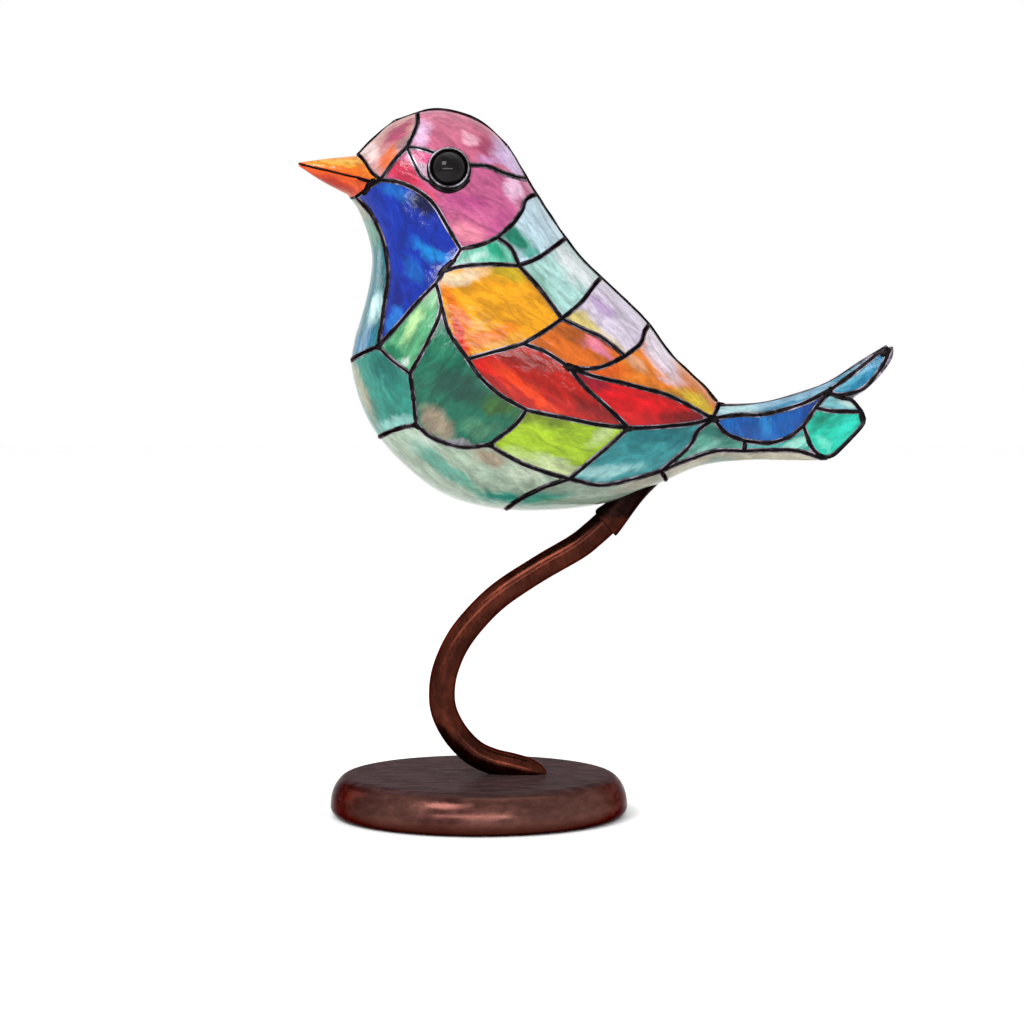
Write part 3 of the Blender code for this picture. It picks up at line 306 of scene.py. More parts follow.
# The look of each pane: its main colour, the way its streaks run, in degrees clockwise from the
# tail's side, and soft patches. A patch is its drawn middle, half its length and width in units,
# the way its length runs and its colour.
# On the back's panes some pale colours are painted reflections of the light from above; each is marked
# where it stands.
GLASS = {
    "forehead": ((0.86, 0.62, 0.60), -35, [
        ((370, 154), 13, 9, 40, (0.97, 0.85, 0.84)),
        ((389, 160), 16, 6, -68, (0.94, 0.46, 0.26)),
        ((398, 134), 20, 7, -35, (0.72, 0.31, 0.44)),
        ((403, 146), 8, 5, -40, (0.72, 0.55, 0.57)),
    ]),
    "crown": ((0.83, 0.42, 0.55), 30, [
        ((421, 138), 14, 9, -70, (0.95, 0.76, 0.90)),
        ((486, 149), 17, 7, 30, (0.72, 0.29, 0.44)),
        ((468, 141), 9, 5, 30, (0.95, 0.68, 0.76)),
        ((510, 161), 25, 10, 52, (0.89, 0.76, 0.93)),
        ((492, 162), 12, 5, 10, (0.84, 0.58, 0.78)),
    ]),
    "eye_front": ((0.91, 0.36, 0.57), 45, [((423, 174), 9, 6, 45, (0.82, 0.68, 0.76))]),
    "cheek": ((0.80, 0.38, 0.57), 22, [
        ((403, 174), 24, 13, 30, (0.86, 0.20, 0.34)),
        ((428, 196), 13, 8, 40, (0.90, 0.33, 0.47)),
        ((513, 190), 17, 8, 70, (0.95, 0.76, 0.88)),
        ((468, 204), 24, 8, 20, (0.75, 0.31, 0.55)),
        ((466, 234), 18, 12, 20, (0.97, 0.57, 0.67)),
        ((500, 224), 16, 6, -45, (0.78, 0.34, 0.58)),
    ]),
    "throat": ((0.01, 0.18, 0.66), 62, [
        ((397, 195), 20, 7, 30, (0.04, 0.38, 0.74)),
        ((425, 206), 17, 9, 30, (0.00, 0.03, 0.28)),
        ((432, 255), 22, 7, 28, (0.04, 0.53, 0.86)),
        ((415, 272), 15, 8, 60, (0.03, 0.37, 0.74)),
        ((398, 300), 14, 8, 80, (0.01, 0.10, 0.52)),
        ((394, 322), 17, 7, -65, (0.12, 0.46, 0.84)),
    ]),
    "neck": ((0.48, 0.81, 0.71), 65, [
        ((497, 254), 11, 6, 60, (0.10, 0.66, 0.51)),
        ((473, 262), 16, 5, -15, (0.74, 0.91, 0.86)),
    ]),
    # The nape's pale blue-white main colour is partly its glass and partly a painted reflection of the
    # light from above.
    "nape": ((0.80, 0.91, 0.96), 50, [
        ((514, 239), 25, 12, 32, (0.07, 0.54, 0.43)),
        ((531, 253), 11, 6, -30, (0.36, 0.71, 0.66)),
    ]),
    "wedge": ((0.36, 0.69, 0.49), -60, [
        ((413, 326), 21, 6, -58, (0.73, 0.91, 0.64)),
        ((431, 298), 11, 7, -70, (0.64, 0.85, 0.67)),
        ((394, 352), 13, 7, 40, (0.13, 0.53, 0.38)),
        ((406, 365), 7, 4, -60, (0.86, 0.96, 0.90)),
    ]),
    "side": ((0.06, 0.44, 0.34), -55, [
        ((438, 343), 22, 11, 70, (0.15, 0.52, 0.39)),
        ((458, 386), 25, 15, 20, (0.02, 0.31, 0.25)),
        ((500, 407), 20, 12, 30, (0.21, 0.40, 0.17)),
        ((478, 430), 20, 9, 10, (0.27, 0.53, 0.40)),
        ((437, 424), 20, 12, 55, (0.63, 0.57, 0.48)),
        ((462, 445), 24, 4, 8, (0.56, 0.56, 0.58)),
    ]),
    "wing_gold": ((0.97, 0.66, 0.05), 24, [
        ((508, 276), 22, 9, 24, (0.80, 0.68, 0.10)),
        ((460, 277), 27, 8, -10, (0.98, 0.86, 0.70)),
        ((456, 316), 32, 8, 68, (0.95, 0.47, 0.03)),
        ((489, 338), 27, 9, -22, (0.95, 0.49, 0.05)),
        ((461, 340), 24, 5, 62, (0.86, 0.20, 0.02)),
    ]),
    "wing_orange": ((0.88, 0.43, 0.09), 28, [
        ((566, 336), 22, 6, 20, (0.74, 0.37, 0.10)),
        ((600, 343), 22, 5, 28, (0.64, 0.26, 0.30)),
        ((598, 354), 20, 5, 34, (0.93, 0.52, 0.63)),
    ]),
    "wing_red": ((0.77, 0.09, 0.03), 38, [
        ((488, 364), 15, 9, 30, (0.93, 0.10, 0.06)),
        ((532, 363), 30, 8, 18, (0.59, 0.07, 0.02)),
        ((527, 391), 42, 8, 38, (0.98, 0.27, 0.05)),
        ((600, 412), 30, 9, 22, (0.55, 0.03, 0.02)),
    ]),
    "wing_crimson": ((0.87, 0.02, 0.06), 18, [
        ((591, 383), 20, 8, 28, (0.62, 0.03, 0.15)),
        ((634, 404), 24, 8, 14, (0.95, 0.03, 0.09)),
        ((688, 418), 32, 9, 10, (0.56, 0.02, 0.05)),
    ]),
    "wing_tip": ((0.93, 0.51, 0.10), 30, [
        ((602, 374), 28, 8, 10, (0.91, 0.38, 0.05)),
        ((637, 366), 16, 6, 40, (0.96, 0.68, 0.50)),
        # Painted reflection: this near-white patch at the pane's top is the light from above mirrored on
        # the glass.
        ((660, 352), 38, 11, 58, (0.97, 0.91, 0.97)),
        ((700, 408), 28, 9, 40, (0.91, 0.77, 0.18)),
        ((676, 401), 22, 5, 22, (0.78, 0.56, 0.08)),
    ]),
    "back": ((0.72, 0.90, 0.88), 45, [
        ((540, 287), 26, 7, 48, (0.60, 0.80, 0.74)),
        # Painted reflection: this white patch is the light from above mirrored on the back's glass.
        ((576, 270), 30, 12, 50, (0.96, 0.99, 1.00)),
    ]),
    # Its near-white lilac main colour is partly its glass and partly a painted reflection of the light
    # from above.
    "rear_back": ((0.92, 0.87, 0.95), 40, [
        ((580, 322), 27, 8, 28, (0.94, 0.86, 0.52)),
        ((612, 344), 18, 6, 40, (0.97, 0.90, 0.74)),
        ((600, 306), 22, 5, 40, (0.82, 0.70, 0.88)),
        ((638, 294), 42, 4, 42, (0.66, 0.63, 0.70)),
    ]),
    "lime": ((0.64, 0.78, 0.12), 16, [
        ((536, 420), 30, 6, 12, (0.46, 0.54, 0.08)),
        ((552, 440), 28, 7, 18, (0.72, 0.86, 0.14)),
        ((548, 466), 44, 9, 16, (0.81, 0.88, 0.64)),
        ((602, 436), 18, 8, -40, (0.77, 0.86, 0.54)),
    ]),
    "flank": ((0.20, 0.61, 0.63), -20, [
        ((662, 438), 38, 9, 0, (0.05, 0.48, 0.51)),
        ((634, 448), 13, 6, 40, (0.11, 0.53, 0.55)),
        ((606, 472), 36, 8, -2, (0.62, 0.84, 0.84)),
    ]),
    "vent": ((0.36, 0.67, 0.59), -28, [
        ((717, 436), 22, 8, 15, (0.16, 0.47, 0.42)),
        ((690, 460), 34, 6, -28, (0.55, 0.80, 0.74)),
    ]),
    "breast": ((0.12, 0.50, 0.55), 80, [
        ((361, 209), 18, 9, 55, (0.67, 0.69, 0.59)),
        ((373, 236), 16, 8, 72, (0.46, 0.66, 0.58)),
        ((379, 282), 24, 5, 90, (0.04, 0.43, 0.47)),
        ((374, 312), 20, 6, -72, (0.78, 0.96, 0.96)),
        ((363, 342), 19, 9, -70, (0.06, 0.50, 0.67)),
    ]),
    "chest": ((0.16, 0.58, 0.51), 50, [
        ((386, 372), 20, 12, 60, (0.06, 0.47, 0.43)),
        ((363, 392), 32, 6, 66, (0.66, 0.67, 0.55)),
        ((396, 422), 20, 7, -14, (0.58, 0.84, 0.80)),
    ]),
    "belly": ((0.72, 0.81, 0.72), 36, [
        ((424, 446), 20, 9, 30, (0.79, 0.87, 0.80)),
        ((446, 470), 44, 6, 38, (0.44, 0.74, 0.65)),
        ((489, 458), 20, 8, 16, (0.69, 0.63, 0.53)),
        ((528, 478), 24, 9, 10, (0.82, 0.88, 0.78)),
        ((502, 499), 24, 7, 14, (0.24, 0.64, 0.56)),
        ((402, 466), 44, 4, 42, (0.70, 0.66, 0.56)),
    ]),
    "rear_belly": ((0.64, 0.72, 0.64), -4, [
        ((538, 500), 34, 7, -8, (0.34, 0.69, 0.60)),
        ((640, 484), 30, 7, -14, (0.68, 0.67, 0.57)),
    ]),
    "under_tail": ((0.79, 0.77, 0.68), 0, [((712, 468), 26, 6, -20, (0.66, 0.76, 0.70))]),
    "tail_top": ((0.56, 0.73, 0.83), -16, [
        ((736, 411), 24, 8, 0, (0.72, 0.88, 0.90)),
        ((790, 407), 50, 4, -14, (0.28, 0.56, 0.70)),
        ((852, 374), 26, 5, -38, (0.22, 0.52, 0.64)),
    ]),
    "tail_blue": ((0.04, 0.38, 0.72), 80, [
        ((812, 414), 22, 10, -45, (0.03, 0.25, 0.56)),
        ((765, 429), 12, 7, 90, (0.12, 0.52, 0.82)),
        ((744, 430), 12, 6, 70, (0.03, 0.31, 0.63)),
    ]),
    "tail_tip": ((0.13, 0.52, 0.68), -42, [((852, 380), 20, 5, -35, (0.30, 0.66, 0.78))]),
    "tail_step": ((0.46, 0.73, 0.76), -10, [((856, 404), 14, 6, 0, (0.78, 0.90, 0.87))]),
    "tail_end": ((0.10, 0.78, 0.67), -40, [
        ((822, 418), 14, 7, -30, (0.05, 0.58, 0.47)),
        ((846, 432), 18, 7, -45, (0.16, 0.90, 0.80)),
        ((822, 444), 12, 5, 50, (0.38, 0.86, 0.76)),
    ]),
    "tail_middle": ((0.22, 0.72, 0.67), -25, [
        ((762, 447), 15, 5, 0, (0.38, 0.70, 0.70)),
        ((796, 445), 20, 5, -30, (0.64, 0.93, 0.86)),
    ]),
    "beak_upper": ((0.97, 0.60, 0.10), 15, [
        ((352, 174), 24, 8, 15, (0.93, 0.44, 0.05)),
        ((340, 164), 26, 4, 0, (0.99, 0.72, 0.26)),
    ]),
    "beak_lower": ((0.93, 0.34, 0.05), 15, [((340, 188), 26, 6, 20, (0.80, 0.18, 0.03))]),
}
# How much of each pane's light goes through it. Paler glass lets more through.
CLEARNESS = {"back": 0.30, "rear_back": 0.30, "belly": 0.30, "rear_belly": 0.30, "under_tail": 0.3}
USUAL_CLEARNESS = 0.22
# The glass is this much deeper in colour than it looks on a lit white ground, and its wisps are
# this much nearer to white than their pane.
GLASS_DEPTH = 0.84
PALE_SHARE = 0.32

# The stem's copper, and old metal's darker reflection at a glancing angle
STEM_DARK, STEM_LIGHT = (0.20, 0.095, 0.07), (0.31, 0.145, 0.105)
EDGE_TINT = (0.42, 0.37, 0.38)


def linear(colour):
    """A colour as it is seen, turned into amounts of light."""
    return [((part + 0.055) / 1.055) ** 2.4 if part > 0.04045 else part / 12.92 for part in colour]


class Graph:
    """A material's nodes, added and joined one after another."""

    def __init__(self, name):
        self.material = bpy.data.materials.get(name) or bpy.data.materials.new(name)
        self.material.use_nodes = True
        self.nodes = self.material.node_tree.nodes
        self.links = self.material.node_tree.links
        self.nodes.clear()
        self.shader = self.nodes.new("ShaderNodeBsdfPrincipled")
        output = self.nodes.new("ShaderNodeOutputMaterial")
        self.links.new(self.shader.outputs["BSDF"], output.inputs["Surface"])
        self.place = self.nodes.new("ShaderNodeTexCoord").outputs["Object"]

    def set(self, **values):
        for name, value in values.items():
            self.shader.inputs[name.replace("_", " ")].default_value = value

    def join(self, source, target):
        self.links.new(source, self.shader.inputs[target] if isinstance(target, str) else target)

    def mapping(self, vector, location=(0, 0, 0), turn=0.0, size=(1, 1, 1)):
        """Coordinates in which a turned, stretched patch at a place is a unit ball."""
        node = self.nodes.new("ShaderNodeMapping")
        node.vector_type = "TEXTURE"
        node.inputs["Location"].default_value = location
        node.inputs["Rotation"].default_value = (0, math.radians(turn), 0)
        node.inputs["Scale"].default_value = size
        self.links.new(vector, node.inputs["Vector"])
        return node.outputs["Vector"]

    def noise(self, vector, size, detail=3.0, roughness=0.55, distortion=0.0):
        node = self.nodes.new("ShaderNodeTexNoise")
        node.inputs["Scale"].default_value = 1 / size
        node.inputs["Detail"].default_value = detail
        node.inputs["Roughness"].default_value = roughness
        node.inputs["Distortion"].default_value = distortion
        self.links.new(vector, node.inputs["Vector"])
        return node

    def math(self, operation, first, second=0.0):
        node = self.nodes.new("ShaderNodeMath")
        node.operation = operation
        for value, socket in ((first, node.inputs[0]), (second, node.inputs[1])):
            if isinstance(value, (int, float)):
                socket.default_value = value
            else:
                self.links.new(value, socket)
        return node.outputs[0]

    def ramp(self, value, low, high, start=0.0, stop=1.0):
        """A value eased from start to stop as the input goes from low to high."""
        node = self.nodes.new("ShaderNodeMapRange")
        node.interpolation_type = "SMOOTHSTEP"
        node.inputs["From Min"].default_value = low
        node.inputs["From Max"].default_value = high
        node.inputs["To Min"].default_value = start
        node.inputs["To Max"].default_value = stop
        self.links.new(value, node.inputs["Value"])
        return node.outputs["Result"]

    def mix(self, share, first, second, blend="MIX"):
        """A colour between two, each a socket or plain values."""
        node = self.nodes.new("ShaderNodeMix")
        node.data_type = "RGBA"
        node.blend_type = blend
        share_in, first_in, second_in = (node.inputs[k] for k in (0, 6, 7))
        for value, socket in ((share, share_in), (first, first_in), (second, second_in)):
            if isinstance(value, bpy.types.NodeSocket):
                self.links.new(value, socket)
            elif isinstance(value, (int, float)):
                socket.default_value = value
            else:
                socket.default_value = (*linear(value), 1)
        return node.outputs[2]

    def vector(self, operation, first, second=None, scale=None):
        node = self.nodes.new("ShaderNodeVectorMath")
        node.operation = operation
        self.links.new(first, node.inputs[0])
        if isinstance(second, bpy.types.NodeSocket):
            self.links.new(second, node.inputs[1])
        elif second is not None:
            node.inputs[1].default_value = second
        if scale is not None:
            node.inputs["Scale"].default_value = scale
        return node.outputs["Value" if operation == "LENGTH" else "Vector"]

    def height(self):
        """How far up a place on the object is."""
        node = self.nodes.new("ShaderNodeSeparateXYZ")
        self.links.new(self.place, node.inputs["Vector"])
        return node.outputs["Z"]

    def bump(self, height, strength, distance):
        node = self.nodes.new("ShaderNodeBump")
        node.inputs["Strength"].default_value = strength
        node.inputs["Distance"].default_value = distance
        self.links.new(height, node.inputs["Height"])
        self.join(node.outputs["Normal"], "Normal")


def glass_material(name, tree):
    """Poured art glass: soft patches of colour, a few of them painted reflections, drawn out in wisps,
    with fine mottles and waves.
    """
    base, streaks, patches = GLASS[name]
    graph = Graph(f"glass_{name}")
    along = graph.mapping(graph.place, turn=streaks, size=(2.6, 1.5, 1))
    wander = graph.noise(along, 0.0055, detail=5, roughness=0.62, distortion=0.5)
    shift = graph.vector("SUBTRACT", wander.outputs["Color"], (0.5, 0.5, 0.5))
    moved = graph.vector("ADD", graph.place, graph.vector("SCALE", shift, scale=0.0080))
    moved = graph.vector("MULTIPLY", moved, (1, 0, 1))
    colour = linear_colour(graph, base)
    for middle, long, wide, turn, tint in patches:
        hit = surface_hit(tree, middle, -1)
        place = hit[0] if hit else placed(middle)
        size = (long * UNIT, 1, wide * UNIT)
        inside = graph.mapping(moved, (place.x, 0, place.z), turn, size)
        mask = graph.ramp(graph.vector("LENGTH", inside), 0.45, 1.4, 1.0, 0.0)
        colour = graph.mix(mask, colour, tint)
    drawn_out = graph.mapping(graph.place, turn=streaks + 8, size=(3.2, 1.5, 1))
    wisps = graph.noise(drawn_out, 0.0030, detail=6, roughness=0.62, distortion=1.1).outputs["Fac"]
    colour = graph.mix(1.0, colour, graph.ramp(wisps, 0.30, 0.70, 0.70, 1.28), "MULTIPLY")
    pale = [part + (1 - part) * PALE_SHARE for part in base]
    colour = graph.mix(graph.ramp(wisps, 0.60, 0.76, 0.0, 0.34), colour, pale)
    fine = graph.noise(graph.mapping(graph.place, turn=streaks, size=(2.0, 1, 1)), 0.0008, 4, 0.65)
    colour = graph.mix(1.0, colour, graph.ramp(fine.outputs["Fac"], 0.3, 0.7, 0.88, 1.12), "MULTIPLY")
    colour = graph.mix(1.0, colour, (GLASS_DEPTH, GLASS_DEPTH, GLASS_DEPTH), "MULTIPLY")
    graph.join(colour, "Base Color")
    graph.join(graph.ramp(fine.outputs["Fac"], 0.3, 0.7, 0.05, 0.14), "Roughness")
    graph.set(IOR=1.5, Specular_IOR_Level=0.22)
    graph.set(Transmission_Weight=CLEARNESS.get(name, USUAL_CLEARNESS))
    waves = graph.noise(graph.mapping(graph.place, turn=streaks, size=(1.8, 1, 1)), 0.0045, 3, 0.5)
    low = graph.math("MULTIPLY", wisps, 0.3)
    graph.bump(graph.math("ADD", waves.outputs["Fac"], low), 0.40, 0.0007)
    return graph.material


def metal(name, dark, light, size, roughness, pits, stretch=(1, 1, 1), spots=(0.38, 0.66)):
    """Patinated metal: dark with lighter worn clouds, uneven gloss and fine pits."""
    graph = Graph(name)
    place = graph.mapping(graph.place, size=stretch)
    clouds = graph.noise(place, size, 5, 0.62, 0.4).outputs["Fac"]
    colour = graph.mix(graph.ramp(clouds, *spots), dark, light)
    fine = graph.noise(place, size / 9, 5, 0.68).outputs["Fac"]
    colour = graph.mix(1.0, colour, graph.ramp(fine, 0.3, 0.7, 0.80, 1.20), "MULTIPLY")
    graph.join(graph.ramp(fine, 0.25, 0.75, roughness - 0.07, roughness + 0.10), "Roughness")
    graph.set(Metallic=1.0, Specular_Tint=(*EDGE_TINT, 1))
    graph.bump(graph.math("ADD", fine, clouds), pits, 0.00025)
    return graph, colour


def finished_metal(*values, **more):
    graph, colour = metal(*values, **more)
    graph.join(colour, "Base Color")
    return graph.material


def stem_material():
    """Dark copper with streaks along the rod, blackened where it runs into the collar."""
    graph, colour = metal("copper_stem", STEM_DARK, STEM_LIGHT, 0.009, 0.22, 0.03, (1, 1, 2))
    height = graph.height()
    ragged = graph.noise(graph.place, 0.004, 4, 0.6).outputs["Fac"]
    height = graph.math("ADD", height, graph.math("MULTIPLY", ragged, 0.004))
    burnt = graph.ramp(height, STEM_END.z + 0.001, STEM_END.z + 0.005, 0.0, 0.85)
    graph.join(graph.mix(burnt, colour, (0.10, 0.055, 0.045)), "Base Color")
    return graph.material


def collar_material():
    """Blackened copper that turns to the stem's copper at its lip."""
    graph, dark = metal("copper_dark", (0.07, 0.04, 0.035), (0.15, 0.08, 0.065), 0.004, 0.36, 0.2)
    ragged = graph.noise(graph.place, 0.003, 4, 0.6).outputs["Fac"]
    height = graph.math("ADD", graph.height(), graph.math("MULTIPLY", ragged, 0.002))
    burnt = graph.ramp(height, STEM_END.z + 0.0016, STEM_END.z + 0.0034)
    lip = graph.mix(graph.ramp(ragged, 0.35, 0.65), STEM_DARK, STEM_LIGHT)
    graph.join(graph.mix(burnt, graph.mix(0.35, lip, dark), dark), "Base Color")
    return graph.material


def base_material():
    """Copper disc: rose copper on its shoulder, redder at its foot, and on top a darker, less metallic
    face that is painted shade.
    """
    dark, light = (0.27, 0.16, 0.145), (0.37, 0.24, 0.215)
    graph, colour = metal("copper_base", dark, light, 0.02, 0.23, 0.03, (2, 2, 1))
    height = graph.height()
    along = graph.mapping(graph.place, turn=14, size=(7, 1, 1))
    streaks = graph.noise(along, 0.0022, 5, 0.6).outputs["Fac"]
    # Painted shade: the top is made darker and less metallic so that it stays dark at a glancing view,
    # where its metal would mirror the bright room.
    top = graph.mix(graph.ramp(streaks, 0.35, 0.7), (0.20, 0.145, 0.145), (0.29, 0.215, 0.215))
    level = BASE_THICKNESS - 0.0001
    graph.join(graph.ramp(height, level - 0.0013, level, 1.0, 0.2), "Metallic")
    graph.set(Specular_IOR_Level=0.0)
    colour = graph.mix(graph.ramp(height, level - 0.0017, level), colour, top)
    foot = graph.ramp(height, 0.0012, 0.0048, 0.85, 0.0)
    graph.join(graph.mix(foot, colour, (0.26, 0.11, 0.08)), "Base Color")
    return graph.material


def eye_material():
    """Black glass bead with a clear, slightly uneven coat."""
    graph = Graph("eye_black")
    depth = graph.noise(graph.place, 0.003, 3, 0.5).outputs["Fac"]
    colour = graph.mix(graph.ramp(depth, 0.3, 0.7), (0.02, 0.015, 0.015), (0.06, 0.045, 0.045))
    graph.join(colour, "Base Color")
    graph.join(graph.ramp(depth, 0.3, 0.7, 0.03, 0.07), "Roughness")
    graph.set(IOR=1.5, Specular_IOR_Level=0.16)
    return graph.material


def linear_colour(graph, colour):
    node = graph.nodes.new("ShaderNodeRGB")
    node.outputs[0].default_value = (*linear(colour), 1)
    return node.outputs[0]


def smooth_line(points, step):
    """Points about this far apart along a smooth curve through the given ones."""
    points = [Vector(point) for point in points]
    ends = [2 * points[0] - points[1], *points, 2 * points[-1] - points[-2]]
    line = [points[0]]
    for before, start, stop, after in zip(ends, ends[1:], ends[2:], ends[3:]):
        pieces = max(1, round((stop - start).length / step))
        for k in range(1, pieces + 1):
            line.append(between(before, start, stop, after, k / pieces))
    return line


def between(before, start, stop, after, t):
    """The place at a share t of the way from start to stop on a smooth curve through all four."""
    return 0.5 * (
        2 * start
        + (stop - before) * t
        + (2 * before - 5 * start + 4 * stop - after) * t * t
        + (3 * start - before - 3 * stop + after) * t * t * t
    )


def placed(point, off_middle=0.0):
    """A drawn point in space, on the plane this far off the bird's middle, measured in units."""
    share = abs(off_middle) / EYE_DISTANCE
    x = point[0] + (DRAWN_EYE[0] - point[0]) * share
    y = point[1] + (DRAWN_EYE[1] - point[1]) * share
    return Vector((
        STEM_END.x + (x - DRAWN_STEM_END[0]) * UNIT,
        off_middle * UNIT,
        STEM_END.z + (DRAWN_STEM_END[1] - y) * DRAWN_RISE,
    ))


def helper_collection(name):
    collection = bpy.data.collections.new(name)
    bpy.context.scene.collection.children.link(collection)
    return collection


def new_object(name, mesh, collection=None):
    obj = bpy.data.objects.new(name, mesh)
    (collection or bpy.context.scene.collection).objects.link(obj)
    return obj


def mesh_from(name, shape):
    bmesh.ops.recalc_face_normals(shape, faces=shape.faces)
    mesh = bpy.data.meshes.new(name)
    shape.to_mesh(mesh)
    shape.free()
    return mesh


def boolean(obj, operation, other):
    modifier = obj.modifiers.new(operation.title(), "BOOLEAN")
    modifier.operation = operation
    modifier.solver = "MANIFOLD"
    if isinstance(other, bpy.types.Collection):
        modifier.operand_type = "COLLECTION"
        modifier.collection = other
    else:
        modifier.object = other


def finished_mesh(obj):
    """The object's mesh with its modifiers worked out."""
    graph = bpy.context.evaluated_depsgraph_get()
    mesh = bpy.data.meshes.new_from_object(obj.evaluated_get(graph))
    mesh.materials.clear()
    return mesh


def section_ring(section, grow, sides):
    """Points around one of the bird's sections, moved outwards by grow metres."""
    top, bottom = placed(section[0]), placed(section[1])
    upwards = (top - bottom) / 2
    tall = upwards.length + grow
    wide = section[2] * UNIT + grow
    power = 2 / section[3]
    ring = []
    for side in range(sides):
        turn = 2 * math.pi * side / sides
        up = math.copysign(abs(math.cos(turn)) ** power, math.cos(turn))
        out = math.copysign(abs(math.sin(turn)) ** power, math.sin(turn))
        place = (top + bottom) / 2 + upwards.normalized() * tall * up
        ring.append(place + Vector((0, wide * out, 0)))
    return ring


def smooth_rings(sections, grow, sides, per_section):
    """Rings through the sections and, as a smooth curve, between them."""
    rings = [section_ring(section, grow, sides) for section in sections]
    lines = [smooth_row([ring[side] for ring in rings], per_section) for side in range(sides)]
    return [list(ring) for ring in zip(*lines)]


def smooth_row(points, pieces):
    ends = [2 * points[0] - points[1], *points, 2 * points[-1] - points[-2]]
    row = [points[0]]
    for before, start, stop, after in zip(ends, ends[1:], ends[2:], ends[3:]):
        row.extend(between(before, start, stop, after, k / pieces) for k in range(1, pieces + 1))
    return row


def loft(name, rings, collection):
    """A closed skin over rings of equally many points, capped at both ends."""
    shape = bmesh.new()
    rows = [[shape.verts.new(point) for point in ring] for ring in rings]
    for row, after in zip(rows, rows[1:]):
        for side in range(len(row)):
            beside = (side + 1) % len(row)
            shape.faces.new((row[side], row[beside], after[beside], after[side]))
    for row, ring in ((rows[0], rings[0]), (rows[-1], rings[-1])):
        middle = shape.verts.new(sum(ring, Vector()) / len(ring))
        for side in range(len(row)):
            shape.faces.new((row[side], row[(side + 1) % len(row)], middle))
    return new_object(name, mesh_from(name, shape), collection)


def body_loft(name, grow, sides, per_section, collection, hollow=False):
    """The bird's body as one closed skin, or only the stretch of it that is hollow."""
    names = list(SECTIONS)
    if hollow:
        names = names[names.index(HOLLOW_FROM) : names.index(HOLLOW_TO) + 1]
    sections = [SECTIONS[key] for key in names]
    return loft(name, smooth_rings(sections, grow, sides, per_section), collection)


def edge_distance(point, outline):
    nearest = float("inf")
    for start, stop in zip(outline, outline[1:] + outline[:1]):
        along = stop - start
        share = (point - start).dot(along) / max(along.length_squared, 1e-12)
        share = min(1, max(0, share))
        nearest = min(nearest, (point - start - along * share).length_squared)
    return math.sqrt(nearest)


def is_inside(point, outline):
    inside = False
    for start, stop in zip(outline, outline[1:] + outline[:1]):
        if (start.y > point.y) != (stop.y > point.y):
            crossing = start.x + (point.y - start.y) * (stop.x - start.x) / (stop.y - start.y)
            if point.x < crossing:
                inside = not inside
    return inside


def signed_area(outline):
    return sum(a.x * b.y - b.x * a.y for a, b in zip(outline, outline[1:] + outline[:1])) / 2


def inset(outline, distance):
    """The outline moved inwards. A corner too sharp to follow is cut short."""
    turned = 1 if signed_area(outline) > 0 else -1
    moved = []
    for before, point, after in zip(outline[-1:] + outline[:-1], outline, outline[1:] + outline[:1]):
        coming = (point - before).normalized()
        going = (after - point).normalized()
        inwards = Vector((-(coming.y + going.y), coming.x + going.x)) * turned
        if inwards.length < 1e-6:
            continue
        inwards.normalize()
        spread = max(0.4, abs(inwards.dot(Vector((-coming.y, coming.x)))))
        target = point + inwards * distance / spread
        if is_inside(target, outline) and edge_distance(target, outline) > 0.95 * distance:
            moved.append(target)
    return moved


def pane_outline(loop):
    """The closed outline of a pane, chained from its lead lines and outside corners."""
    runs = []
    for item in loop:
        runs.append(smooth_line(LEADS[item], LEAD_STEP) if isinstance(item, str) else [Vector(item)])
    first, second = runs[0], runs[1]
    near = min((first[-1] - end).length for end in (second[0], second[-1]))
    far = min((first[0] - end).length for end in (second[0], second[-1]))
    outline = list(first) if near <= far else list(reversed(first))
    for run in runs[1:]:
        if (run[-1] - outline[-1]).length < (run[0] - outline[-1]).length:
            run = list(reversed(run))
        outline.extend(run)
    kept = []
    for point in outline:
        if not kept or (point - kept[-1]).length > SAME_POINT:
            kept.append(point)
    if (kept[0] - kept[-1]).length <= SAME_POINT:
        kept.pop()
    return kept


def prism(name, outline, levels, collection):
    """A flat outline carried through planes this many units off the middle, towards the eye."""
    shape = bmesh.new()
    rows = [[shape.verts.new(placed(point, level)) for point in outline] for level in levels]
    for row, after in zip(rows, rows[1:]):
        for place in range(len(row)):
            beside = (place + 1) % len(row)
            shape.faces.new((row[place], row[beside], after[beside], after[place]))
    shape.faces.new(rows[0])
    shape.faces.new(rows[-1])
    bmesh.ops.triangulate(shape, faces=[face for face in shape.faces if len(face.verts) > 4])
    return new_object(name, mesh_from(name, shape), collection)


def tail_cutter(collection):
    """What lies past the tail's feathers."""
    closing = [Vector(point) for point in TAIL_EDGE[-2:]]
    return prism("tail edge", smooth_line(TAIL_EDGE[:-2], 4) + closing, (-60, 0, 60), collection)


def drum(name, middle, axis, radius, depth, collection, sides=64):
    """A short round bar about an axis, for a seat or a bore."""
    shape = bmesh.new()
    bmesh.ops.create_cone(
        shape, cap_ends=True, segments=sides, radius1=radius, radius2=radius, depth=depth
    )
    turn = Vector((0, 0, 1)).rotation_difference(axis).to_matrix().to_4x4()
    shape.transform(Matrix.Translation(middle) @ turn)
    return new_object(name, mesh_from(name, shape), collection)


def pane_plan(ridge):
    """Each pane's name, its CAD node, its loop and the levels that its cutter runs through."""
    for name, loop in SIDE_PANES.items():
        yield name, f"pane_{name}_left", loop, (-REACH, -ridge)
        yield name, f"pane_{name}_right", loop, (ridge, REACH)
    for name, loop in THROUGH_PANES.items():
        yield name, f"pane_{name}", loop, (-REACH, 0, REACH)


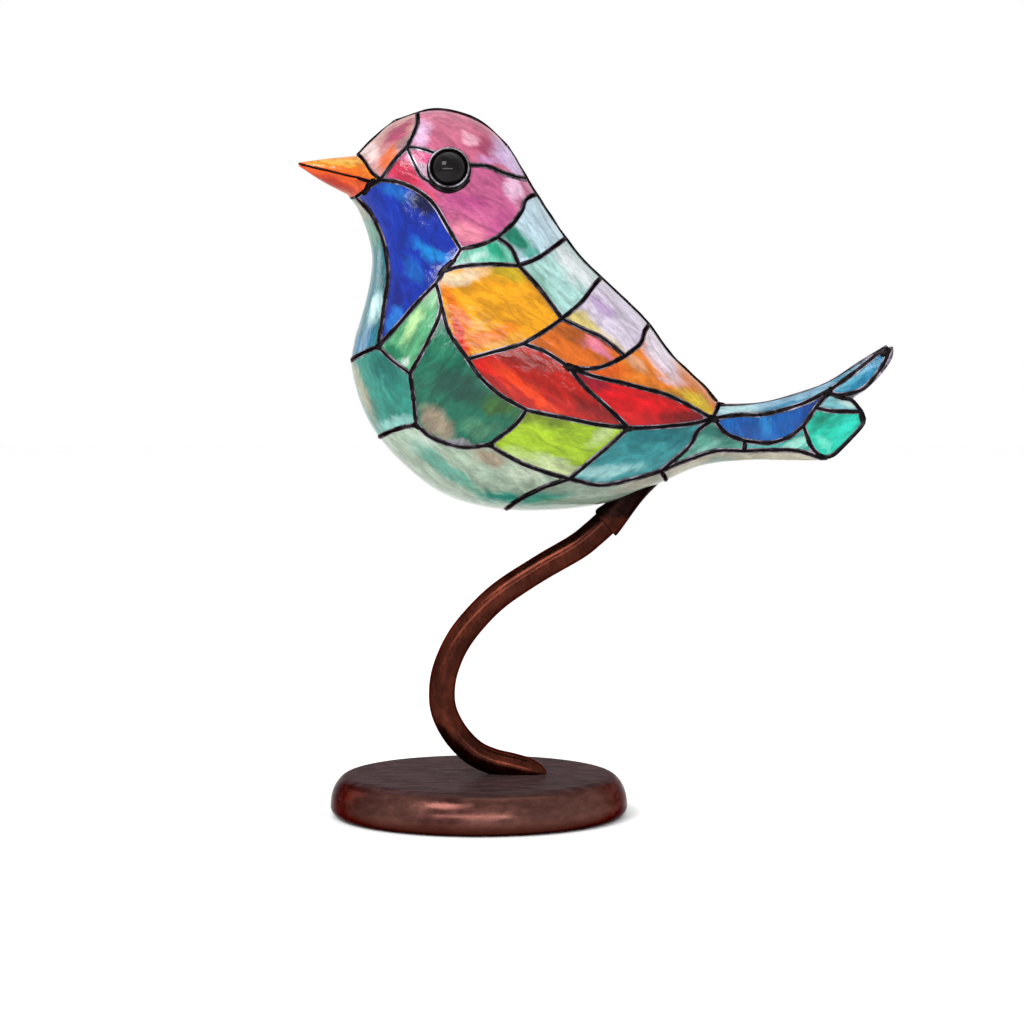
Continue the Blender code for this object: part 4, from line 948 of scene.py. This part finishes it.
def surface_hit(tree, point, side):
    """Where a drawn point lies on one side of the skin, and the way the skin faces there."""
    start = placed(point, side * REACH)
    towards = (placed(point) - start).normalized()
    hit, normal, _, _ = tree.ray_cast(start, towards, REACH * UNIT)
    return (hit, normal) if hit else None


def round_the_edge(tree, outside, inside, side, level):
    """The stretch of a line that goes on over the skin to the bird's middle plane."""
    path = []
    for step in range(1, EDGE_STEPS + 1):
        off = side * level * math.cos(math.pi / 2 * step / EDGE_STEPS)
        start, stop = placed(outside, off), placed(inside, off)
        hit, normal, _, _ = tree.ray_cast(start, (stop - start).normalized(), (stop - start).length)
        if hit:
            path.append((hit, normal))
    return path


def lead_path(tree, points, side):
    """Where a drawn line lies on one side of the bird's skin, as places and their normals."""
    line = smooth_line(points, BEAD_STEP)
    hits = [surface_hit(tree, point, side) for point in line]
    on = [k for k, hit in enumerate(hits) if hit]
    if len(on) < 2:
        return []
    first, last = on[0], on[-1]
    path = [hits[k] for k in range(first, last + 1) if hits[k]]
    if first > 0:
        level = abs(path[0][0].y) / UNIT
        inside = line[min(first + 1, last)]
        outside = line[first - 1] + (line[first - 1] - inside) * RUN_ON
        path = round_the_edge(tree, outside, inside, side, level)[::-1] + path
    if last < len(line) - 1:
        level = abs(path[-1][0].y) / UNIT
        inside = line[max(last - 1, first)]
        outside = line[last + 1] + (line[last + 1] - inside) * RUN_ON
        path += round_the_edge(tree, outside, inside, side, level)
    return path


def evened(path):
    """The path's normals, each made the mean of its neighbours', and no two places too close."""
    kept = path[:1]
    for place, normal in path[1:]:
        if (place - kept[-1][0]).length > CLOSEST_STEP * UNIT:
            kept.append((place, normal))
    for _ in range(4):
        normals = [item[1] for item in kept]
        kept = [
            (place, (normals[max(k - 1, 0)] + normal + normals[min(k + 1, len(kept) - 1)]).normalized())
            for k, (place, normal) in enumerate(kept)
        ]
    return kept


def bead(name, path, wide, high, collection, sides=10):
    """A flattened round bar that lies along a path on the skin. Sizes are in units."""
    path = evened(path)
    if len(path) < 2:
        return None
    rings = []
    for k, (place, normal) in enumerate(path):
        along = (path[min(k + 1, len(path) - 1)][0] - path[max(k - 1, 0)][0]).normalized()
        across = along.cross(normal).normalized()
        up = across.cross(along).normalized()
        swell = 1 + BEAD_SWELL * noise.noise(place * 260)
        astray = BEAD_ASTRAY * noise.noise(place * 120 + Vector((3, 1, 7)))
        middle = place - up * BEAD_SUNK * UNIT + across * astray * UNIT
        rings.append([
            middle
            + across * math.cos(turn) * wide * swell * UNIT
            + up * math.sin(turn) * high * swell * UNIT
            for turn in (2 * math.pi * side / sides for side in range(sides))
        ])
    return loft(name, rings, collection)


def drop(name, place, normal, long, wide, turn, collection):
    """A low uneven drop of solder. It lies on the skin, drawn out one way."""
    turn = math.radians(turn)
    along = Vector((math.cos(turn), 0, -math.sin(turn)))
    along = (along - normal * along.dot(normal)).normalized()
    across = normal.cross(along)
    shape = bmesh.new()
    bmesh.ops.create_uvsphere(shape, u_segments=24, v_segments=10, radius=1)
    for vertex in shape.verts:
        x, y, z = vertex.co
        uneven = 1 + DROP_UNEVEN * noise.noise(Vector((x * 1.6, y * 1.6, long)) + place * 90)
        flat = along * x * long * uneven + across * y * wide * uneven
        vertex.co = place + (flat + normal * (z * DROP_HIGH - DROP_SUNK)) * UNIT
    return new_object(name, mesh_from(name, shape), collection)


def tree_of(surface):
    """A skin's faces, to find places on. The skin itself goes."""
    bpy.context.view_layer.update()
    tree = BVHTree.FromObject(surface, bpy.context.evaluated_depsgraph_get())
    bpy.data.objects.remove(surface)
    return tree


def new_piece(name, mesh, material, slot, *nodes):
    """A finished piece of the visual model, in place of these nodes of the frame."""
    piece = new_object(name, mesh)
    piece.data.materials.append(material)
    smooth(piece.data)
    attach(piece, "root")
    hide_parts(*nodes)
    return piece


def smooth(mesh, sharpest=40):
    mesh.shade_smooth()
    mesh.set_sharp_from_angle(angle=math.radians(sharpest))


def eye_places(tree):
    """Each eye's place on the skin and the way it looks, by side."""
    places = {}
    for side, word in ((-1, "left"), (1, "right")):
        hit, normal = surface_hit(tree, DRAWN_EYEBALL, side)
        view = (placed(DRAWN_EYEBALL, side * REACH) - placed(DRAWN_EYEBALL)).normalized()
        places[word] = (hit, (3 * normal + view).normalized())
    return places


def bird_shell(work):
    """The whole wall of glass, before it is parted into panes."""
    outer = body_loft("outer skin", 0, 160, 6, work)
    boolean(outer, "DIFFERENCE", body_loft("hollow", -GLASS_THICKNESS, 48, 4, work, hollow=True))
    boolean(outer, "DIFFERENCE", tail_cutter(work))
    return finished_mesh(outer)


def build_panes(tree, eyes, shell_mesh, work):
    """Each pane is the part of the glass wall inside its own lead lines."""
    materials = {name: glass_material(name, tree) for name in (*SIDE_PANES, *THROUGH_PANES)}
    for name, node, loop, levels in pane_plan(PANE_RIDGE):
        shell = new_object(f"{name} shell", shell_mesh.copy(), work)
        cutter = prism(f"{node} cutter", inset(pane_outline(loop), PANE_INSET), levels, work)
        boolean(shell, "INTERSECT", cutter)
        if name in EYE_PANES:
            hit, looks = eyes[node.rsplit("_", 1)[-1]]
            bore = drum(f"{node} eye", hit, looks, EYE_RADIUS + GAP, PANE_BORE_DEEP, work)
            boolean(shell, "DIFFERENCE", bore)
        mesh = finished_mesh(shell)
        new_piece(node.replace("pane_", "glass_"), mesh, materials[name], f"glass_{name}", node)


def build_foil(eyes, work):
    """The metal foil that edges every pane, seen on both sides of the beads. Its pale silver colour is a
    painted highlight along the beads' edges.
    """
    cage = body_loft("cage", FOIL_PROUD * UNIT, 64, 4, work)
    hollow = body_loft("cage hollow", -GLASS_THICKNESS - 0.0002, 32, 3, work, hollow=True)
    boolean(cage, "DIFFERENCE", hollow)
    boolean(cage, "DIFFERENCE", tail_cutter(work))
    openings = helper_collection("openings")
    for name, node, loop, levels in pane_plan(FOIL_RIDGE):
        prism(f"{node} opening", inset(pane_outline(loop), FOIL_INSET), levels, openings)
    beak_root = inset(pane_outline(BEAK_ROOT), BEAK_INSET)
    prism("beak root opening", beak_root, (-REACH, 0, REACH), openings)
    boolean(cage, "DIFFERENCE", openings)
    for word, (hit, looks) in eyes.items():
        bore = drum(f"{word} foil bore", hit, looks, EYE_RADIUS + GAP, BORE_DEEP, work)
        boolean(cage, "DIFFERENCE", bore)
    # Painted highlight: the foil's pale silvery colour stands in for the light lines along each bead.
    foil = finished_metal("came_foil_highlight", (0.20, 0.18, 0.20), (0.56, 0.53, 0.58), 0.004, 0.36, 0.10)
    new_piece("came_foil_highlight", finished_mesh(cage), foil, "came", "came")


def ridge_path(start, stop):
    """The bird's top edge between two sections, as places and the way they face."""
    names = list(SECTIONS)
    kept = names[names.index(start) : names.index(stop) + 1]
    line = [placed(point) for point in smooth_line([SECTIONS[key][0] for key in kept], BEAD_STEP)]
    path = []
    for k, place in enumerate(line):
        along = (line[min(k + 1, len(line) - 1)] - line[max(k - 1, 0)]).normalized()
        path.append((place, Vector((0, 1, 0)).cross(along) * -1))
    return path


def build_beads(tree, beak_tree, eyes, work):
    """The black beads of solder along the lead lines, the ridge and the mouth."""
    beads = helper_collection("beads")
    for name, points in LEADS.items():
        wide = THIN_BEAD if name in THIN_LEADS else BEAD_WIDE
        for side in (-1, 1):
            bead(f"{name} {side}", lead_path(tree, points, side), wide, BEAD_HIGH, beads)
    for start, stop, wide in RIDGE_BEADS:
        bead(f"ridge {start}", ridge_path(start, stop), wide, RIDGE_HIGH, beads)
    for side in (-1, 1):
        front = lead_path(beak_tree, MOUTH_LINE, side)
        bead(f"mouth {side}", front, THIN_BEAD, MOUTH_HIGH, beads)
        rear = lead_path(tree, MOUTH_REAR, side)
        bead(f"mouth rear {side}", rear, BEAD_WIDE, MOUTH_REAR_HIGH, beads)
        for k, (middle, long, wide, turn) in enumerate(DROPS):
            drop(f"drop {k} {side}", *surface_hit(tree, middle, side), long, wide, turn, beads)
    for word, (hit, looks) in eyes.items():
        low = looks * looks.z - Vector((0, 0, 1))
        middle = hit + looks * (SEAT_RAISED - SEAT_DEEP / 2) + low.normalized() * SEAT_LOW
        drum(f"{word} eye seat", middle, looks, SEAT_RADIUS, SEAT_DEEP, beads)
    first = next(iter(beads.objects))
    beads.objects.unlink(first)
    work.objects.link(first)
    boolean(first, "UNION", beads)
    for word, (hit, looks) in eyes.items():
        bore = drum(f"{word} eye bore", hit, looks, EYE_OPENING, BORE_DEEP, work)
        boolean(first, "DIFFERENCE", bore)
    dark, light = (0.075, 0.065, 0.07), (0.22, 0.20, 0.21)
    solder = finished_metal("came_solder", dark, light, 0.003, 0.32, 0.12, spots=(0.48, 0.78))
    new_piece("came_lines", finished_mesh(first), solder, "came", "came")


def build_eye_ring(word, hit, looks):
    """A thin bright ring of wire between the eye and its black seat."""
    shape = bmesh.new()
    across = looks.orthogonal().normalized()
    beside = looks.cross(across)
    rows = []
    for k in range(96):
        turn = 2 * math.pi * k / 96
        out = across * math.cos(turn) + beside * math.sin(turn)
        middle = hit + looks * SEAT_RAISED + out * (EYE_OPENING + 1.5 * WIRE)
        rows.append([
            shape.verts.new(middle + (out * math.cos(girth) + looks * math.sin(girth)) * WIRE)
            for girth in (2 * math.pi * side / 12 for side in range(12))
        ])
    for row, after in zip(rows, rows[1:] + rows[:1]):
        for side in range(12):
            beside_it = (side + 1) % 12
            shape.faces.new((row[side], row[beside_it], after[beside_it], after[side]))
    silver = finished_metal("eye_wire", (0.26, 0.25, 0.28), (0.62, 0.60, 0.64), 0.003, 0.30, 0.06)
    new_piece(f"eye_wire_{word}", mesh_from("eye wire", shape), silver, "came", "came")


def ball(name, middle, radius):
    shape = bmesh.new()
    bmesh.ops.create_uvsphere(shape, u_segments=64, v_segments=40, radius=radius)
    shape.transform(Matrix.Translation(middle))
    return mesh_from(name, shape)


def build_eyes(eyes):
    """The two black balls and their rings of wire."""
    black = eye_material()
    for word, (hit, looks) in eyes.items():
        mesh = ball(f"eye {word}", hit - looks * EYE_SUNK * 2 * EYE_RADIUS, EYE_RADIUS)
        new_piece(f"eyeball_{word}", mesh, black, "glass_eye", f"eye_{word}")
        build_eye_ring(word, hit, looks)


def beak_skin(collection):
    return loft("beak skin", smooth_rings(BEAK_SECTIONS, 0, 64, 6), collection)


def build_beak(tree, shell_mesh, work):
    """Two halves of glass that run on over the head to the first lead lines."""
    line = smooth_line(MOUTH_LINE, 4)
    start = Vector((line[0].x - 60, line[0].y))
    for word, far in (("upper", -900), ("lower", 1500)):
        root = new_object(f"beak root {word}", shell_mesh.copy(), work)
        outline = inset(pane_outline(BEAK_ROOT), PANE_INSET)
        boolean(root, "INTERSECT", prism(f"beak root cut {word}", outline, (-REACH, 0, REACH), work))
        beak = beak_skin(work)
        boolean(beak, "UNION", root)
        closing = [Vector((line[-1].x, far)), Vector((start.x, far))]
        side = prism(f"beak {word} side", [start, *line, *closing], (-REACH, REACH), work)
        boolean(beak, "INTERSECT", side)
        material = glass_material(f"beak_{word}", tree)
        mesh = finished_mesh(beak)
        new_piece(f"beak_glass_{word}", mesh, material, f"glass_beak_{word}", f"beak_{word}")


def tube(path, radii, sides=48):
    """A round bar along a path in the bird's middle plane."""
    rings = []
    for k, place in enumerate(path):
        along = (path[min(k + 1, len(path) - 1)] - path[max(k - 1, 0)]).normalized()
        level = Vector((0, 1, 0))
        out = level.cross(along).normalized()
        rings.append([
            place + (out * math.cos(turn) + level * math.sin(turn)) * radii[k]
            for turn in (2 * math.pi * side / sides for side in range(sides))
        ])
    return rings


def turned(name, profile, sides=160):
    """A closed solid of revolution about the upright axis, from its top middle to its underside."""
    shape = bmesh.new()
    rows = []
    for radius, height in profile:
        if radius < 1e-6:
            rows.append([shape.verts.new((0, 0, height))])
            continue
        turns = (2 * math.pi * side / sides for side in range(sides))
        rows.append([
            shape.verts.new((radius * math.cos(turn), radius * math.sin(turn), height)) for turn in turns
        ])
    for row, after in zip(rows, rows[1:]):
        for side in range(sides):
            beside = (side + 1) % sides
            corners = [ring[k % len(ring)] for ring, k in (
                (row, side), (row, beside), (after, beside), (after, side)
            )]
            shape.faces.new(list(dict.fromkeys(corners)))
    return mesh_from(name, shape)


def stem_line():
    """The middle of the stem from its foot to its end in the collar."""
    start = Vector((0, 0, BASE_THICKNESS))
    points = [start + Vector((x * STEM_REACH, 0, z * STEM_RISE)) for x, z in STEM_PATH]
    return smooth_line([*points, STEM_END], 0.0008)


def build_stem(work):
    """A bent rod. Its foot ends in a round tip that lies in the base."""
    line = stem_line()[TIP_LEFT_OFF:]
    radii = []
    for k, place in enumerate(line):
        tip = min(1, (k + 0.5) / TIP_STEPS)
        radii.append(STEM_RADIUS * math.sqrt(tip * (2 - tip)) * (1 + 0.02 * noise.noise(place * 90)))
    stem = loft("stem rod", tube(line, radii), work)
    below = bmesh.new()
    bmesh.ops.create_cube(below, size=2 * BASE_RADIUS)
    under = new_object("stem foot cut", mesh_from("stem foot cut", below), work)
    under.location.z = BASE_THICKNESS - BASE_RADIUS
    bpy.context.view_layer.update()
    boolean(stem, "DIFFERENCE", under)
    new_piece("stem_rod", finished_mesh(stem), stem_material(), "copper_stem", "stem")


def build_collar(work):
    """A thin socket on the stem's end that flares out to the belly."""
    line = stem_line()
    axis = (line[-1] - line[-4]).normalized()
    square = Vector((0, 1, 0)).cross(axis).normalized()
    radius = STEM_RADIUS + GAP + COLLAR_WALL
    foot = line[-1] - axis * COLLAR_LIP
    lip = radius - COLLAR_WALL * 0.95
    plan = [(foot, lip * square, lip), (line[-1] + axis * GAP, radius * square, radius)]
    for middle, stretch, widen, turned_by in COLLAR_FLARE:
        across = square.lerp(COLLAR_SLANT.normalized(), turned_by).normalized()
        plan.append((placed(middle), radius * stretch * across, radius * widen))
    turns = [2 * math.pi * side / 64 for side in range(64)]
    rings = [
        [middle + long * math.cos(turn) + Vector((0, wide * math.sin(turn), 0)) for turn in turns]
        for middle, long, wide in plan
    ]
    rows = [smooth_row([ring[side] for ring in rings], 6) for side in range(64)]
    collar = loft("collar skin", [list(ring) for ring in zip(*rows)], work)
    boolean(collar, "DIFFERENCE", body_loft("belly clearance", 0.0003, 96, 4, work))
    bore = drum("collar bore", foot, axis, STEM_RADIUS + 0.0001, 2 * COLLAR_LIP, work)
    boolean(collar, "DIFFERENCE", bore)
    new_piece("collar_socket", finished_mesh(collar), collar_material(), "copper_dark", "collar")


def build_base():
    """A level disc with a long round shoulder and a small rounding at its foot."""
    shoulder, foot = BASE_SHOULDER, BASE_FOOT_ROUND
    profile = [(0, BASE_THICKNESS)]
    profile += [(BASE_RADIUS - shoulder - 0.001 * k, BASE_THICKNESS) for k in (12, 4, 2)]
    for k in range(25):
        turn = math.pi / 2 * k / 24
        profile.append((
            BASE_RADIUS - shoulder + shoulder * math.sin(turn),
            foot + (BASE_THICKNESS - foot) * math.cos(turn),
        ))
    for k in range(1, 13):
        turn = math.pi / 2 * k / 12
        profile.append((
            BASE_RADIUS - foot + foot * math.cos(turn),
            foot - foot * math.sin(turn),
        ))
    profile.append((0, 0))
    mesh = turned("base_disc", profile)
    new_piece("base_disc", mesh, base_material(), "copper_base", "base")


def add_light(name, place, target, size, power):
    """A plain white panel of light that faces its target."""
    light = bpy.data.lights.new(name, "AREA")
    light.shape = "RECTANGLE"
    light.size, light.size_y = size
    light.energy = power
    lamp = new_object(name, light)
    lamp.location = place
    lamp.rotation_euler = (Vector(target) - Vector(place)).to_track_quat("-Z", "Y").to_euler()
    return lamp


def floor_material():
    material = bpy.data.materials.new("floor")
    material.use_nodes = True
    shader = material.node_tree.nodes["Principled BSDF"]
    shader.inputs["Base Color"].default_value = (0.95, 0.95, 0.95, 1)
    shader.inputs["Metallic"].default_value = 0.0
    shader.inputs["Roughness"].default_value = 0.8
    return material


def build_stage():
    """A pale floor and four soft lights."""
    floor_mesh = bmesh.new()
    bmesh.ops.create_grid(floor_mesh, x_segments=1, y_segments=1, size=1.5)
    floor = new_object("floor", mesh_from("floor", floor_mesh))
    floor.location.z = -0.0002
    floor.data.materials.append(floor_material())
    middle = (0, 0, 0.1)
    lamps = [
        add_light("overhead softbox", (0.1, 0.1, 0.9), middle, (0.8, 0.6), 1.2),
        add_light("key softbox", (-0.42, -0.66, 0.80), middle, (0.40, 0.34), 5.4),
        add_light("strip softbox", (-0.1, -0.95, 0.30), middle, (1.1, 0.10), 3.4),
        add_light("rear softbox", (-0.75, 0.50, 0.30), middle, (0.25, 0.4), 0.7),
    ]


def place_camera():
    """A long lens in front of the bird, a little above it."""
    camera = bpy.data.cameras.new("camera")
    camera.lens = 148.6
    camera.sensor_width = 36
    eye = new_object("camera", camera)
    eye.location = (0.0095, -1.2, 0.190)
    target = Vector((0.0095, 0, 0.0868))
    eye.rotation_euler = (target - eye.location).to_track_quat("-Z", "Y").to_euler()
    bpy.context.scene.camera = eye


def set_world():
    world = bpy.data.worlds.new("studio")
    world.use_nodes = True
    world.node_tree.nodes["Background"].inputs["Color"].default_value = (1, 1, 1, 1)
    world.node_tree.nodes["Background"].inputs["Strength"].default_value = 1.0
    bpy.context.scene.world = world
    bpy.context.scene.view_settings.view_transform = "Standard"


def build():
    """Everything in the order in which one thing rests on another."""
    work = helper_collection("work")
    tree = tree_of(body_loft("skin", 0, 96, 5, None))
    beak_tree = tree_of(beak_skin(None))
    eyes = eye_places(tree)
    shell_mesh = bird_shell(work)
    build_panes(tree, eyes, shell_mesh, work)
    build_foil(eyes, work)
    build_beads(tree, beak_tree, eyes, work)
    build_eyes(eyes)
    build_beak(tree, shell_mesh, work)
    build_stem(work)
    build_collar(work)
    build_base()
    remove_helpers()
    build_stage()
    place_camera()
    set_world()


def remove_helpers():
    for name in ("work", "openings", "beads"):
        collection = bpy.data.collections[name]
        for obj in list(collection.objects):
            bpy.data.objects.remove(obj)
        bpy.data.collections.remove(collection)


build()
